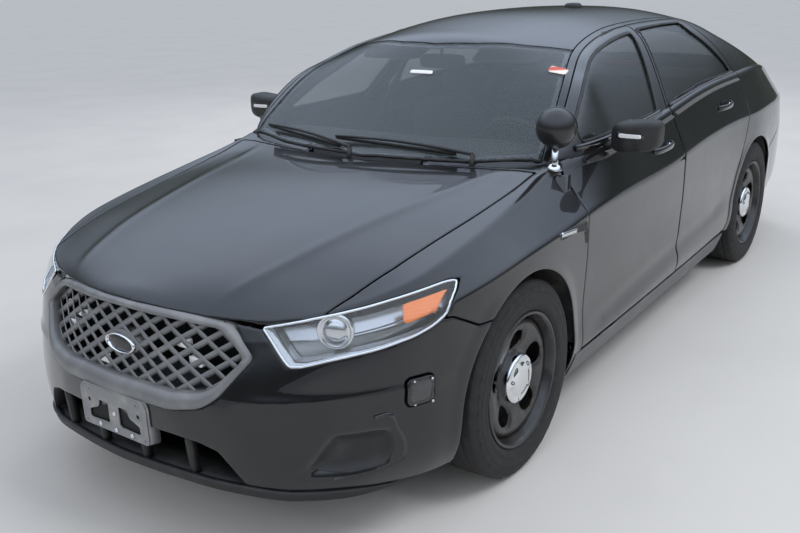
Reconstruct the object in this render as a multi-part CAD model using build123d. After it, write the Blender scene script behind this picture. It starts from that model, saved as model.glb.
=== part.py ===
from build123d import *
import math
import os

os.makedirs("parts", exist_ok=True)

# Frame: +X forward, +Y to the car's left, +Z up, origin on the ground midway along and across the body.
BODY_LENGTH = 5154.0
BODY_WIDTH = 1935.0
FRONT_AXLE_X = 1552.0
WHEEL_BASE = 2867.0
REAR_AXLE_X = FRONT_AXLE_X - WHEEL_BASE
WHEEL_CENTRE_Y = 830.0
TYRE_RADIUS = 363.0
TYRE_WIDTH = 245.0
RIM_RADIUS = 246.0
HUB_HEIGHT = 363.0
ARCH_RADIUS = 397.0
ARCH_HEIGHT = 365.0
FRONT_WHEELHOUSE_RADIUS = 430.0
REAR_WHEELHOUSE_RADIUS = 400.0
ARCH_LIP_Y = 936.0
FRONT_WHEELHOUSE_INNER_Y = 495.0
REAR_WHEELHOUSE_INNER_Y = 690.0
KINGPIN_Y = 770.0

DOOR_GAP = 6.0
PANEL_GAP = 0.0
SEAT_GAP = 0.4
SPINDLE_RADIUS = 20.0
KINGPIN_RADIUS = 8.0
RUNNING_CLEARANCE = 0.06
LID_GAP = 6.0
SHEET = 26.0
GLASS_THICKNESS = 5.0
GLASS_GAP = 0.0
PILLAR_DEPTH = 48.0
ROOF_DEPTH = 30.0
CABIN_HALF_WIDTH = 780.0
FLOOR_TOP_Z = 262.0
FLOOR_BOTTOM_Z = 222.0
FIREWALL_X = 1008.0

# Lower body sections, half width and height from the bottom edge to the centre of the top.
# Columns: x, bottom, lower side, groove, mid side, shoulder line, top edge, top mid, top centre.
BODY_SECTIONS = [
    (2568, (150, 385), (185, 400), (205, 430), (200, 470), (190, 495), (170, 510), (90, 515), (0, 515)),
    (2550, (260, 290), (300, 330), (320, 430), (290, 515), (225, 563), (175, 588), (95, 603), (0, 608)),
    (2520, (370, 225), (410, 280), (430, 430), (372, 555), (272, 664), (205, 712), (112, 742), (0, 753)),
    (2480, (450, 195), (500, 270), (520, 430), (455, 588), (335, 702), (255, 760), (135, 804), (0, 822)),
    (2430, (530, 182), (585, 265), (605, 430), (560, 606), (448, 718), (362, 776), (230, 818), (0, 840)),
    (2340, (630, 174), (690, 260), (712, 430), (690, 640), (642, 735), (575, 793), (345, 848), (0, 866)),
    (2220, (730, 172), (790, 260), (812, 430), (800, 650), (770, 750), (700, 820), (400, 878), (0, 896)),
    (2080, (810, 172), (865, 260), (886, 430), (880, 660), (860, 770), (780, 846), (440, 908), (0, 926)),
    (1947, (860, 175), (908, 265), (926, 430), (925, 670), (912, 790), (815, 870), (450, 932), (0, 950)),
    (1750, (890, 180), (935, 275), (950, 430), (957, 690), (945, 815), (825, 905), (450, 962), (0, 980)),
    (1552, (895, 180), (940, 285), (955, 430), (966, 700), (953, 832), (825, 938), (450, 985), (0, 1000)),
    (1300, (890, 175), (938, 300), (946, 430), (957, 700), (951, 840), (808, 985), (440, 1005), (0, 1012)),
    (1060, (885, 170), (940, 290), (932, 400), (948, 650), (949, 855), (800, 1030), (440, 1036), (0, 1040)),
    (800, (885, 170), (942, 290), (930, 400), (946, 650), (949, 860), (878, 1062), (440, 1062), (0, 1062)),
    (239, (885, 172), (942, 300), (932, 410), (947, 650), (950, 862), (873, 1081), (440, 1081), (0, 1081)),
    (-187, (885, 175), (942, 310), (936, 430), (948, 660), (946, 895), (860, 1112), (440, 1112), (0, 1112)),
    (-637, (885, 180), (940, 320), (937, 440), (948, 670), (940, 912), (846, 1138), (440, 1138), (0, 1138)),
    (-1050, (888, 185), (940, 320), (945, 450), (954, 690), (941, 912), (843, 1141), (440, 1141), (0, 1141)),
    (-1315, (890, 190), (938, 320), (952, 450), (966, 700), (948, 908), (838, 1142), (440, 1142), (0, 1142)),
    (-1600, (880, 215), (928, 325), (942, 450), (953, 700), (938, 905), (824, 1138), (430, 1138), (0, 1138)),
    (-1950, (850, 235), (898, 335), (915, 450), (922, 700), (908, 898), (785, 1108), (400, 1130), (0, 1136)),
    (-2200, (800, 250), (850, 345), (872, 460), (876, 700), (860, 888), (745, 1062), (400, 1112), (0, 1122)),
    (-2380, (720, 268), (775, 355), (800, 470), (802, 700), (778, 876), (690, 1036), (370, 1100), (0, 1112)),
    (-2480, (600, 290), (665, 370), (700, 480), (698, 700), (662, 866), (600, 1018), (340, 1088), (0, 1102)),
    (-2540, (430, 330), (500, 400), (545, 490), (542, 640), (505, 740), (440, 778), (250, 796), (0, 802)),
    (-2577, (250, 420), (300, 450), (330, 500), (330, 580), (310, 630), (280, 652), (150, 662), (0, 666)),
]

# Greenhouse sections, half width and height from the belt to the roof centre.
# Columns: x, belt, mid glass, top of side glass, roof edge, roof mid, roof centre.
GREENHOUSE_SECTIONS = [
    (1250, (300, 985), (290, 990), (270, 998), (240, 1004), (120, 1014), (0, 1016)),
    (1180, (560, 985), (545, 1000), (520, 1012), (470, 1024), (240, 1056), (0, 1064)),
    (1060, (800, 985), (790, 1030), (770, 1048), (735, 1064), (400, 1128), (0, 1148)),
    (800, (878, 1040), (835, 1140), (785, 1235), (735, 1262), (400, 1314), (0, 1332)),
    (620, (878, 1045), (800, 1192), (742, 1300), (690, 1328), (360, 1422), (0, 1450)),
    (459, (877, 1050), (772, 1240), (682, 1370), (620, 1394), (340, 1462), (0, 1482)),
    (117, (876, 1055), (757, 1262), (643, 1413), (575, 1450), (320, 1512), (0, 1528)),
    (-244, (870, 1060), (746, 1278), (626, 1430), (558, 1466), (310, 1526), (0, 1542)),
    (-688, (862, 1060), (740, 1292), (626, 1432), (562, 1464), (310, 1522), (0, 1536)),
    (-1001, (862, 1060), (765, 1278), (655, 1404), (580, 1444), (315, 1496), (0, 1508)),
    (-1300, (860, 1060), (770, 1246), (690, 1324), (622, 1362), (330, 1414), (0, 1427)),
    (-1600, (850, 1060), (778, 1190), (722, 1232), (662, 1262), (360, 1304), (0, 1316)),
    (-1850, (800, 1060), (766, 1136), (742, 1150), (684, 1168), (380, 1188), (0, 1194)),
    (-1960, (778, 1060), (764, 1106), (745, 1116), (690, 1126), (390, 1138), (0, 1142)),
]

# Door outlines on the skin. Columns: x, z, skin half width there, run of x for each mm of half width.
FRONT_DOOR = [
    (1060, 296, 942, 0.0), (1060, 700, 950, 0.0), (1060, 900, 948, 0.0), (1052, 1010, 880, 0.0),
    (1030, 1050, 820, 0.0), (925, 1196, 790, 0.0), (770, 1278, 760, 0.0), (560, 1358, 700, 0.0),
    (355, 1412, 650, 0.05), (120, 1444, 610, 0.15), (-120, 1456, 600, -0.3),
    (-170, 1404, 655, -0.36), (-25, 1100, 866, -0.36), (-40, 980, 906, -0.36), (-45, 872, 949, -0.36), (-45, 700, 948, -0.36),
    (-45, 296, 942, -0.36),
]
REAR_DOOR = [
    (-51, 296, 942, 0.3), (-51, 700, 948, 0.3), (-51, 872, 949, 0.3), (-46, 980, 906, 0.3), (-31, 1100, 866, 0.3),
    (-176, 1404, 655, 0.3), (-126, 1456, 600, 0.25), (-300, 1462, 600, -0.3), (-700, 1458, 605, -0.6),
    (-850, 1428, 640, -0.55), (-950, 1374, 690, -0.5), (-1040, 1310, 735, -0.48),
    (-1125, 1240, 790, -0.46), (-1185, 1150, 845, -0.42), (-1185, 1000, 925, -0.36),
    (-1150, 900, 940, -0.36), (-1070, 771, 945, -0.36), (-950, 610, 944, -0.36),
    (-882, 450, 940, -0.36), (-866, 296, 940, -0.36),
]
# Window openings in the doors. Columns: x, z.
FRONT_WINDOW = [
    (905, 1092), (905, 1168), (760, 1240), (548, 1322), (348, 1378), (117, 1406), (-110, 1412), (95, 1100),
]
REAR_WINDOW = [
    (-60, 1112), (-272, 1418), (-480, 1424), (-688, 1418), (-823, 1394), (-916, 1342), (-1001, 1276),
    (-1085, 1215), (-1125, 1158), (-637, 1148), (-187, 1124),
]
# Half widths of the centre panels seen from above. Columns: x, half width.
CENTRE_EDGE = [
    (1075, 752), (800, 690), (459, 586), (117, 540), (-244, 524), (-688, 528), (-1001, 545),
    (-1300, 590), (-1600, 628), (-1885, 660), (-2200, 668), (-2360, 640), (-2600, 560),
]
WINDSHIELD_BASE = [(1240, 0), (1222, 200), (1168, 480), (1075, 752)]
WINDSHIELD_TOP = [(650, 0), (628, 200), (560, 420), (459, 586)]
BACKLIGHT_TOP = [(-1085, 0), (-1065, 250), (-1020, 548)]
BACKLIGHT_BASE = [(-1905, 0), (-1900, 350), (-1885, 660)]
HOOD_SIDE = [(1150, 768), (1600, 745), (2000, 712), (2170, 686), (2300, 655)]
HOOD_FRONT = [(2300, 655), (2382, 512), (2440, 330), (2466, 160), (2472, 0)]
HOOD_REAR = [(1262, 0), (1246, 200), (1196, 480), (1150, 700), (1150, 768)]

# Headlamp face seen from the front. Columns: y, z.
HEADLAMP_FACE = [
    (498, 770), (660, 806), (800, 836), (880, 856), (915, 800), (905, 765), (820, 715), (700, 672), (485, 640),
]
GRILLE_FACE = [(405, 768), (484, 675), (430, 545), (-430, 545), (-484, 675), (-405, 768)]



def wire(points):
    return Wire.make_polygon([Vector(*p) for p in points], close=True)


def prism(points, run):
    return Solid.extrude(Face(wire(points)), Vector(*run))


def prism_y(points, low, high):
    return prism([(x, low, z) for x, z in points], (0, high - low, 0))


def prism_z(points, low, high):
    return prism([(x, y, low) for x, y in points], (0, 0, high - low))


def prism_x(points, low, high):
    return prism([(low, y, z) for y, z in points], (high - low, 0, 0))


def block(x0, x1, y0, y1, z0, z1):
    size = Box(x1 - x0, y1 - y0, z1 - z0)
    return Pos((x0 + x1) / 2, (y0 + y1) / 2, (z0 + z1) / 2) * size


def rod(start, end, radius):
    axis = Vector(*end) - Vector(*start)
    plane = Plane(origin=start, z_dir=axis)
    return extrude(plane * Circle(radius), axis.length)


def wheel_axis_cylinder(x, z, y0, y1, radius):
    return rod((x, y0, z), (x, y1, z), radius)


def largest(shape):
    return max(shape.solids(), key=lambda solid: solid.volume)


# Moves every side of a closed outline outward by the same distance.
def offset_outline(points, distance):
    count = len(points)
    doubled_area = 0.0
    for index in range(count):
        ax, az = points[index - 1]
        bx, bz = points[index]
        doubled_area += ax * bz - bx * az
    turn = 1.0 if doubled_area > 0 else -1.0
    moved = []
    for index in range(count):
        before = points[index - 1]
        here = points[index]
        after = points[(index + 1) % count]
        first = (here[0] - before[0], here[1] - before[1])
        second = (after[0] - here[0], after[1] - here[1])
        first_length = math.hypot(*first)
        second_length = math.hypot(*second)
        n1 = (turn * first[1] / first_length, -turn * first[0] / first_length)
        n2 = (turn * second[1] / second_length, -turn * second[0] / second_length)
        scale = distance / (1.0 + n1[0] * n2[0] + n1[1] * n2[1])
        moved.append((here[0] + scale * (n1[0] + n2[0]), here[1] + scale * (n1[1] + n2[1])))
    return moved


def both(shape):
    return shape + mirror(shape, Plane.XZ)


def other_side(shape):
    return mirror(shape, Plane.XZ)


# A closed volume lofted through half sections, pulled in by side, top and end amounts.
def section_volume(table, side, top, scale_x, bottom_lift):
    wires = []
    for row in table:
        x = row[0] * scale_x
        half = []
        low = row[1][1] + bottom_lift
        for y, z in row[1:]:
            inner_y = max(y - side, 0.0) if y > 0 else 0.0
            inner_z = max(z - top, low)
            half.append((inner_y, inner_z))
        half[0] = (half[0][0], low)
        ring = [(x, 0.0, low)]
        ring += [(x, y, z) for y, z in half]
        ring += [(x, -y, z) for y, z in reversed(half[:-1])]
        wires.append(wire(ring))
    return Solid.make_loft(wires, ruled=True)


# Plan outline made from a front curve, a rear curve and the side edge between them.
def plan_panel(front, rear, gap, low, high):
    front_half = [(x - gap, max(y - gap, 0) if y else 0) for x, y in front]
    rear_half = [(x + gap, max(y - gap, 0) if y else 0) for x, y in rear]
    start_x = front_half[-1][0]
    end_x = rear_half[-1][0]
    side = [(x, y - gap) for x, y in CENTRE_EDGE if end_x + 5 < x < start_x - 5]
    half = front_half + side + rear_half[::-1]
    mirrored = [(x, -y) for x, y in reversed(half) if y > 0]
    return prism_z(half + mirrored, low, high)


# A door-shaped prism whose edges lean as their table says, grown or shrunk by an outline offset.
def door_prism(table, grow, outer_y, inner_y):
    outline = offset_outline([(x, z) for x, z, y, slope in table], grow)
    outer = []
    inner = []
    for (gx, gz), (x, z, y, slope) in zip(outline, table):
        outer.append((gx + slope * (outer_y - y), outer_y, gz))
        inner.append((gx + slope * (inner_y - y), inner_y, gz))
    return Solid.make_loft([wire(outer), wire(inner)], ruled=True)


outer_body = section_volume(BODY_SECTIONS, 0.0, 0.0, 1.0, 0.0)
outer_green = section_volume(GREENHOUSE_SECTIONS, 0.0, 0.0, 1.0, 0.0)
inner_scale = 1.0 - SHEET / (BODY_LENGTH / 2)
inner_body = section_volume(BODY_SECTIONS, SHEET, SHEET, inner_scale, SHEET)
inner_green = section_volume(GREENHOUSE_SECTIONS, PILLAR_DEPTH, ROOF_DEPTH, 0.985, -120.0)
glass_green = section_volume(GREENHOUSE_SECTIONS, GLASS_THICKNESS + 1.5, GLASS_THICKNESS, 0.997, -60.0)


# Cabin space, wide above the sills and narrower between the rear wheelhouses.
def cabin_void():
    lower = block(-850, FIREWALL_X, -CABIN_HALF_WIDTH, CABIN_HALF_WIDTH, FLOOR_TOP_Z, 1100)
    rear = block(-1330, -849, -640, 640, FLOOR_TOP_Z, 1100)
    rear_upper = block(-1330, -849, -770, 770, 830, 1120)
    return lower + rear + rear_upper + inner_green


def wheelhouse(x, inner_y, radius):
    house = wheel_axis_cylinder(x, ARCH_HEIGHT, inner_y, ARCH_LIP_Y, radius)
    house += block(x - radius, x + radius, inner_y, ARCH_LIP_Y, -50, ARCH_HEIGHT)
    lip = wheel_axis_cylinder(x, ARCH_HEIGHT, ARCH_LIP_Y - 5, 1000, ARCH_RADIUS)
    lip += block(x - ARCH_RADIUS, x + ARCH_RADIUS, ARCH_LIP_Y - 5, 1000, -50, ARCH_HEIGHT)
    return house + lip


front_house = wheelhouse(FRONT_AXLE_X, FRONT_WHEELHOUSE_INNER_Y, FRONT_WHEELHOUSE_RADIUS)
rear_house = wheelhouse(REAR_AXLE_X, REAR_WHEELHOUSE_INNER_Y, REAR_WHEELHOUSE_RADIUS)
cabin = cabin_void()
left_half = block(-2700, 2700, 0, 1100, 0, 1700)
front_door_cut = door_prism(FRONT_DOOR, DOOR_GAP, 1010, 520)
rear_door_cut = door_prism(REAR_DOOR, DOOR_GAP, 1010, 520)
windshield_prism = plan_panel(WINDSHIELD_BASE, WINDSHIELD_TOP, 0, 960, 1700)
roof_prism = plan_panel(WINDSHIELD_TOP, BACKLIGHT_TOP, 0, 960, 1700)
backlight_prism = plan_panel(BACKLIGHT_TOP, BACKLIGHT_BASE, 0, 1000, 1700)
centre_cut = plan_panel(WINDSHIELD_BASE, BACKLIGHT_BASE, -12, 960, 1700)


def hood_outline(gap):
    side = [(x, y - gap) for x, y in HOOD_SIDE[:-1]]
    front = [(x - gap, y - gap if y > gap else 0) for x, y in HOOD_FRONT]
    rear = [(x + gap, min(y, HOOD_SIDE[0][1] - gap)) for x, y in HOOD_REAR[:-1]]
    half = rear + side[:1] + side[1:] + front
    return half + [(x, -y) for x, y in reversed(half) if y > 0]


def make_hood():
    shape = hood_outline(LID_GAP / 2)
    low = [(x - 62 if x > 2250 else x, y, 560.0) for x, y in shape]
    high = [(x + 90 if x > 2250 else x, y, 1160.0) for x, y in shape]
    column = Solid.make_loft([wire(low), wire(high)], ruled=True)
    return outer_body & column - inner_body


def hood_cut():
    shape = hood_outline(-LID_GAP / 2)
    low = [(x - 62 if x > 2250 else x, y, 560.0) for x, y in shape]
    high = [(x + 90 if x > 2250 else x, y, 1160.0) for x, y in shape]
    return Solid.make_loft([wire(low), wire(high)], ruled=True)


def trunk_outline(gap):
    half = [(x - gap, max(y - gap, 0) if y else 0) for x, y in BACKLIGHT_BASE]
    half += [(x, y - gap) for x, y in CENTRE_EDGE if x < -1900]
    half += [(-2600, 0)]
    return half + [(x, -y) for x, y in reversed(half) if y > 0]


TRUNK_LID_BOTTOM_Z = 806.0


def trunk_column(gap):
    return prism_z(trunk_outline(gap), TRUNK_LID_BOTTOM_Z + gap, 1300)


def make_trunk_lid():
    return outer_body & trunk_column(LID_GAP / 2) - inner_body


def bumper_front_region(grow):
    outline = [
        (1900 - grow, 0), (2700, 0), (2700, 900), (2550, 900), (2380 - grow, 640 + grow),
        (2200 - grow, 660 + grow), (2060 - grow, 700 + grow), (1990 - grow, 640 + grow),
        (1960 - grow, 560 + grow), (1900 - grow, 540 + grow),
    ]
    return prism_y(outline, -1100, 1100)


def bumper_rear_region(grow):
    outline = [
        (-1650 + grow, 0), (-2700, 0), (-2700, 800 + grow), (-2250 + grow, 800 + grow),
        (-1900 + grow, 690 + grow), (-1650 + grow, 640 + grow),
    ]
    return prism_y(outline, -1100, 1100)


def lamp_prism(gap):
    centre_y = sum(y for y, z in HEADLAMP_FACE) / len(HEADLAMP_FACE)
    centre_z = sum(z for y, z in HEADLAMP_FACE) / len(HEADLAMP_FACE)
    points = []
    for y, z in HEADLAMP_FACE:
        dy, dz = y - centre_y, z - centre_z
        length = math.hypot(dy, dz)
        points.append((y + gap * dy / length, z + gap * dz / length))
    return prism_x(points, 1880, 2650)


TAIL_LAMP_FACE = [(560, 985), (640, 992), (820, 1000), (905, 960), (905, 850), (640, 828), (560, 832)]


def tail_lamp_prism(gap):
    centre_y = sum(y for y, z in TAIL_LAMP_FACE) / len(TAIL_LAMP_FACE)
    centre_z = sum(z for y, z in TAIL_LAMP_FACE) / len(TAIL_LAMP_FACE)
    points = []
    for y, z in TAIL_LAMP_FACE:
        dy, dz = y - centre_y, z - centre_z
        length = math.hypot(dy, dz)
        points.append((y + gap * dy / length, z + gap * dz / length))
    return prism_x(points, -2650, -2260)


lamp_cut = lamp_prism(PANEL_GAP)
tail_cut = tail_lamp_prism(PANEL_GAP)
grille_cut = prism_x(GRILLE_FACE, 2300, 2650)
intake_cut = prism_x([(380, 352), (470, 240), (430, 222), (-430, 222), (-470, 240), (-380, 352)], 2300, 2650)
trunk_space = block(-2450, -1345, -660, 660, 300, 1200) + block(-2450, -1345, -1000, 1000, 812, 1200)
trunk_void = inner_body & trunk_space
SILL_TOP_Z = 290.0
SILL_FRONT_X = 1114.0
SILL_REAR_X = -860.0
bumper_inner = section_volume(BODY_SECTIONS, 60.0, 30.0, 0.975, 40.0)
bumper_open = section_volume(BODY_SECTIONS, 85.0, 100.0, 0.955, -150.0)
sill_inner = section_volume(BODY_SECTIONS, 14.0, 0.0, 1.0, 0.0)
sill_cut = block(SILL_REAR_X, SILL_FRONT_X + 10, 700, 1100, 160, SILL_TOP_Z) - sill_inner


def corner_lamp_block(gap):
    shape = Box(100 + 2 * gap, 70 + 2 * gap, 92 + 2 * gap)
    shape = fillet(shape.edges().filter_by(Axis.Y), 16)
    return Pos(2102, 850, 540) * Rot(0, 0, -28) * shape


def make_side_frame(fender):
    solid = (outer_body + outer_green) & block(-2420, 1056, 0, 1100, 0, 1700)
    pillar = section_volume(BODY_SECTIONS, SHEET + PANEL_GAP, SHEET + PANEL_GAP, 1.0, SHEET)
    solid = solid + (pillar & block(1040, 1114, 700, 1000, 170, 1100))
    solid = solid - cabin - trunk_void - rear_house
    solid = solid - block(-2500, 1200, -10, 800, 0, FLOOR_TOP_Z + 4) - block(980, 1200, -10, 700, 0, 1100)
    solid = solid - block(-2500, -845, -10, 691, 0, 1000) - block(-1360, -1320, -10, 700, 0, 1100)
    solid = solid - (inner_body & block(-2500, -1725, 0, 1000, 0, 820))
    solid = solid - block(-2500, -1640, 0, 700, 0, 1160)
    solid = solid - front_door_cut - rear_door_cut
    solid = solid - windshield_prism - roof_prism - backlight_prism
    solid = solid - trunk_column(-LID_GAP / 2) - tail_cut - bumper_rear_region(PANEL_GAP) - sill_cut
    return largest(solid + make_door_rests() - fender)


# Hinge leaves ahead of each door and a rubber stop behind it, which the shut door all but touches.
def make_door_rests():
    rests = None
    rows = [
        (1060 + SEAT_GAP, 1075, 815, 880, 590, 640), (1060 + SEAT_GAP, 1075, 815, 880, 770, 820),
        (-50, 30, 792, 830, 590, 640), (-50, 30, 792, 830, 770, 820),
        (-60, 20, 792, 830, 500, 530), (-1110, -1000, 800, 840, 800, 830),
    ]
    for x0, x1, y0, y1, z0, z1 in rows:
        rest = block(x0, x1, y0, y1, z0, z1)
        rests = rest if rests is None else rests + rest
    rests = rests - door_prism(FRONT_DOOR, SEAT_GAP, 1010, 520) - door_prism(REAR_DOOR, SEAT_GAP, 1010, 520)
    return rests


def make_door(table, window):
    solid = (outer_body + outer_green) & door_prism(table, 0.0, 1010, 520)
    solid = solid - cabin - block(-1300, 1100, 0, CABIN_HALF_WIDTH, 0, 1110)
    solid = solid - prism_y(offset_outline(window, GLASS_GAP), 400, 1100) - centre_cut
    return largest(solid)


def make_side_glass(window):
    return largest((outer_green - glass_green) & prism_y(window, 400, 1100))


def make_fender():
    solid = outer_body & block(1064, 2400, 0, 1100, 0, 1200)
    solid = solid - inner_body - hood_cut() - lamp_cut - bumper_front_region(PANEL_GAP) - front_house
    solid = solid - windshield_prism - block(1000, 2500, -10, 600, 0, 1200)
    solid = solid - block(1000, 1200, 0, 1100, 0, SILL_TOP_Z + PANEL_GAP) - front_door_cut
    return largest(solid)


def make_front_bumper():
    shell = outer_body & bumper_front_region(0.0)
    shell = shell - bumper_inner - bumper_open
    shell = shell - both(front_house) - both(lamp_cut) - hood_cut() - grille_cut - intake_cut
    shell = shell - both(corner_lamp_block(PANEL_GAP))
    return largest(shell)


def make_rear_bumper():
    shell = outer_body & bumper_rear_region(0.0)
    shell = shell - bumper_inner - bumper_open
    shell = shell - both(rear_house) - both(tail_cut) - trunk_column(-LID_GAP / 2)
    rests = block(-2530, -2512, 280, 320, 780, TRUNK_LID_BOTTOM_Z + LID_GAP / 2 - SEAT_GAP)
    return largest(shell + both(rests))


def make_roof():
    panel = plan_panel(WINDSHIELD_TOP, BACKLIGHT_TOP, PANEL_GAP, 1200, 1700)
    return outer_green & panel - inner_green


def make_glass(front, rear):
    panel = plan_panel(front, rear, GLASS_GAP, 960, 1700)
    return (outer_green - glass_green) & panel


def make_tyre(x, y):
    tread = wheel_axis_cylinder(x, HUB_HEIGHT, y - TYRE_WIDTH / 2, y + TYRE_WIDTH / 2, TYRE_RADIUS)
    tread = fillet(tread.edges().filter_by(GeomType.CIRCLE), 30.0)
    hole = wheel_axis_cylinder(x, HUB_HEIGHT, y - TYRE_WIDTH, y + TYRE_WIDTH, RIM_RADIUS - 12.0)
    return tread - hole


def make_rim(x, y, outward):
    barrel = wheel_axis_cylinder(x, HUB_HEIGHT, y - 112, y + 112, RIM_RADIUS - 12.0)
    barrel -= wheel_axis_cylinder(x, HUB_HEIGHT, y - 130, y + 130, RIM_RADIUS - 26.0)
    face_y = y + outward * 40.0
    disc = wheel_axis_cylinder(x, HUB_HEIGHT, face_y, face_y + outward * 14.0, RIM_RADIUS - 20.0)
    for index in range(5):
        angle = math.radians(90 + 72 * index)
        hx = x + 150.0 * math.cos(angle)
        hz = HUB_HEIGHT + 150.0 * math.sin(angle)
        disc -= wheel_axis_cylinder(hx, hz, face_y - outward * 20, face_y + outward * 40, 40.0)
    hub = wheel_axis_cylinder(x, HUB_HEIGHT, face_y - outward * 30.0, face_y + outward * 48.0, 78.0)
    bore = wheel_axis_cylinder(x, HUB_HEIGHT, y, y + outward * 46, SPINDLE_RADIUS + RUNNING_CLEARANCE)
    return barrel + disc + hub - bore


def make_knuckle(side):
    y = WHEEL_CENTRE_Y
    hub = wheel_axis_cylinder(FRONT_AXLE_X, HUB_HEIGHT, y - 70, y + 4, 56)
    carrier = block(FRONT_AXLE_X - 40, FRONT_AXLE_X + 40, y - 95, y - 48, HUB_HEIGHT - 128, HUB_HEIGHT + 128)
    disc = wheel_axis_cylinder(FRONT_AXLE_X, HUB_HEIGHT, y - 44, y - 22, 165)
    spindle = wheel_axis_cylinder(FRONT_AXLE_X, HUB_HEIGHT, y, y + 40, SPINDLE_RADIUS)
    shape = hub + carrier + disc + spindle
    bore = KINGPIN_RADIUS + RUNNING_CLEARANCE
    shape -= rod((FRONT_AXLE_X, KINGPIN_Y, 200), (FRONT_AXLE_X, KINGPIN_Y, 268), bore)
    return shape if side > 0 else other_side(shape)


HOOD_STOP_Z = 760.0


def make_floor_pan():
    shape = block(-880, 1036, -797, 797, FLOOR_BOTTOM_Z, FLOOR_TOP_Z)
    shape += block(-1180, -880, -646, 646, FLOOR_BOTTOM_Z, FLOOR_TOP_Z)
    shape += block(-1180, -1160, -646, 646, FLOOR_BOTTOM_Z, 460)
    shape += block(-2370, -1160, -646, 646, 438, 460)
    shape += block(-1345, -1331, -640, 640, 450, 1060)
    shape += block(FIREWALL_X + 4, FIREWALL_X + 28, -700, 700, FLOOR_BOTTOM_Z, 950)
    shape += prism_x([(-150, 250), (150, 250), (110, 400), (-110, 400)], -500, FIREWALL_X + 10)
    for side in (-1, 1):
        inner = sorted((side * 400, side * 470))
        apron = sorted((side * 462, side * 488))
        tower = sorted((side * 462, side * 700))
        shape += block(1020, 2240, *inner, 330, 430)
        shape += block(1020, 2020, *apron, 340, 850)
        shape += block(1460, 1645, *tower, 802, 850)
        wall = sorted((side * 645, side * 682))
        shape += block(-1725, -905, *wall, 250, 800)
        shape -= block(-1400, -1230, *wall, 200, 425)
    shape += block(2200, 2240, -470, 470, 330, 380)
    for side in (-1, 1):
        shape += block(1500, 1600, *sorted((side * 320, side * 405)), 385, 425)
        shape += block(2200, 2240, *sorted((side * 300, side * 340)), 370, HOOD_STOP_Z)
    return shape


# The cowl carries the pads that the shut hood's rear corners rest on.
def make_cowl(hood):
    below = Pos(0, 0, -32) * outer_body
    lower = Pos(0, 0, -58) * outer_body
    under_hood = Pos(0, 0, -SHEET - SEAT_GAP) * outer_body
    tray = block(1046, 1300, -700, 700, 900, 1100)
    pads = block(1168, 1196, -690, -640, 900, 1100) + block(1168, 1196, 640, 690, 900, 1100)
    return largest(((below & tray) + (under_hood & pads)) - lower - hood - Pos(0, 0, -SEAT_GAP) * hood)


def make_liners():
    result = []
    rows = [
        (FRONT_AXLE_X, FRONT_WHEELHOUSE_RADIUS, 488.0, 932.0, 345.0),
        (REAR_AXLE_X, REAR_WHEELHOUSE_RADIUS, 692.0, 932.0, 300.0),
    ]
    for x, radius, y0, y1, low in rows:
        ring = wheel_axis_cylinder(x, ARCH_HEIGHT, y0, y1, radius)
        ring -= wheel_axis_cylinder(x, ARCH_HEIGHT, y0 - 10, y1 + 10, radius - 12)
        ring -= block(x - 600, x + 600, 0, 1100, -100, low)
        result += [ring, other_side(ring)]
    return Compound([piece for shape in result for piece in shape.solids()])


def make_headlamp():
    return largest(((outer_body - bumper_inner) & lamp_prism(0.0)) - hood_cut() - block(1800, 2600, -10, 400, 0, 1200))


def make_tail_lamp():
    shape = ((outer_body - bumper_inner) & tail_lamp_prism(0.0)) - trunk_column(-LID_GAP / 2)
    return largest(shape - bumper_rear_region(PANEL_GAP))


MESH_PITCH = 62.0
MESH_BAR = 9.0


def make_grille():
    outline = GRILLE_FACE
    inner = offset_outline(outline, -34.0)
    ring = (outer_body - bumper_inner) & (prism_x(outline, 2300, 2650) - prism_x(inner, 2290, 2660)) - hood_cut()
    bars = None
    for step in range(-10, 11):
        for lean in (-1, 1):
            shift = step * MESH_PITCH
            half = MESH_BAR / 2
            low, high = 500.0, 800.0
            run = lean * (high - low)
            line = [(shift - run / 2 - half, low), (shift - run / 2 + half, low)]
            line += [(shift + run / 2 + half, high), (shift + run / 2 - half, high)]
            bar = prism_x(line, 2300, 2650)
            bars = bar if bars is None else bars + bar
    sheet = (Pos(-24, 0, -4) * outer_body) - (Pos(-36, 0, -6) * outer_body)
    mesh = (sheet & prism_x(offset_outline(outline, -30.0), 2290, 2660) & bars) - hood_cut()
    badge = wheel_plate((2494, 0, 648), 76, 32, 20)
    return ring, mesh, badge


def wheel_plate(centre, half_width, half_height, depth):
    plane = Plane(origin=centre, x_dir=(0, 1, 0), z_dir=(1, 0, 0))
    return extrude(plane * Ellipse(half_width, half_height), depth)


def make_plate_bracket():
    shape = block(2568, 2577, -152, 152, 361, 505)
    shape -= block(2560, 2590, -120, -30, 400, 460)
    shape -= block(2560, 2590, 30, 120, 400, 460)
    for y in (-BRACKET_HOLE_SPACING / 2, BRACKET_HOLE_SPACING / 2):
        shape -= rod((2560, y, 488), (2590, y, 488), BRACKET_HOLE_RADIUS)
    return shape


BRACKET_HOLE_SPACING = 178.0
BRACKET_HOLE_RADIUS = 3.5


def make_mirror(door):
    housing = Pos(722, 993, 1106) * fillet(Box(112, 196, 132).edges(), 26)
    arm = prism_y([(800, 1040), (740, 1040), (700, 1085), (800, 1085)], 840, 930)
    return largest(housing + arm - door)


def make_handle(x0, x1, z, skin_y, door):
    bar = block(x0, x1, skin_y + 28, skin_y + 44, z - 13, z + 13)
    posts = block(x0, x0 + 26, skin_y - 30, skin_y + 36, z - 13, z + 13)
    posts += block(x1 - 26, x1, skin_y - 30, skin_y + 36, z - 13, z + 13)
    return largest(bar + posts - door)


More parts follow.
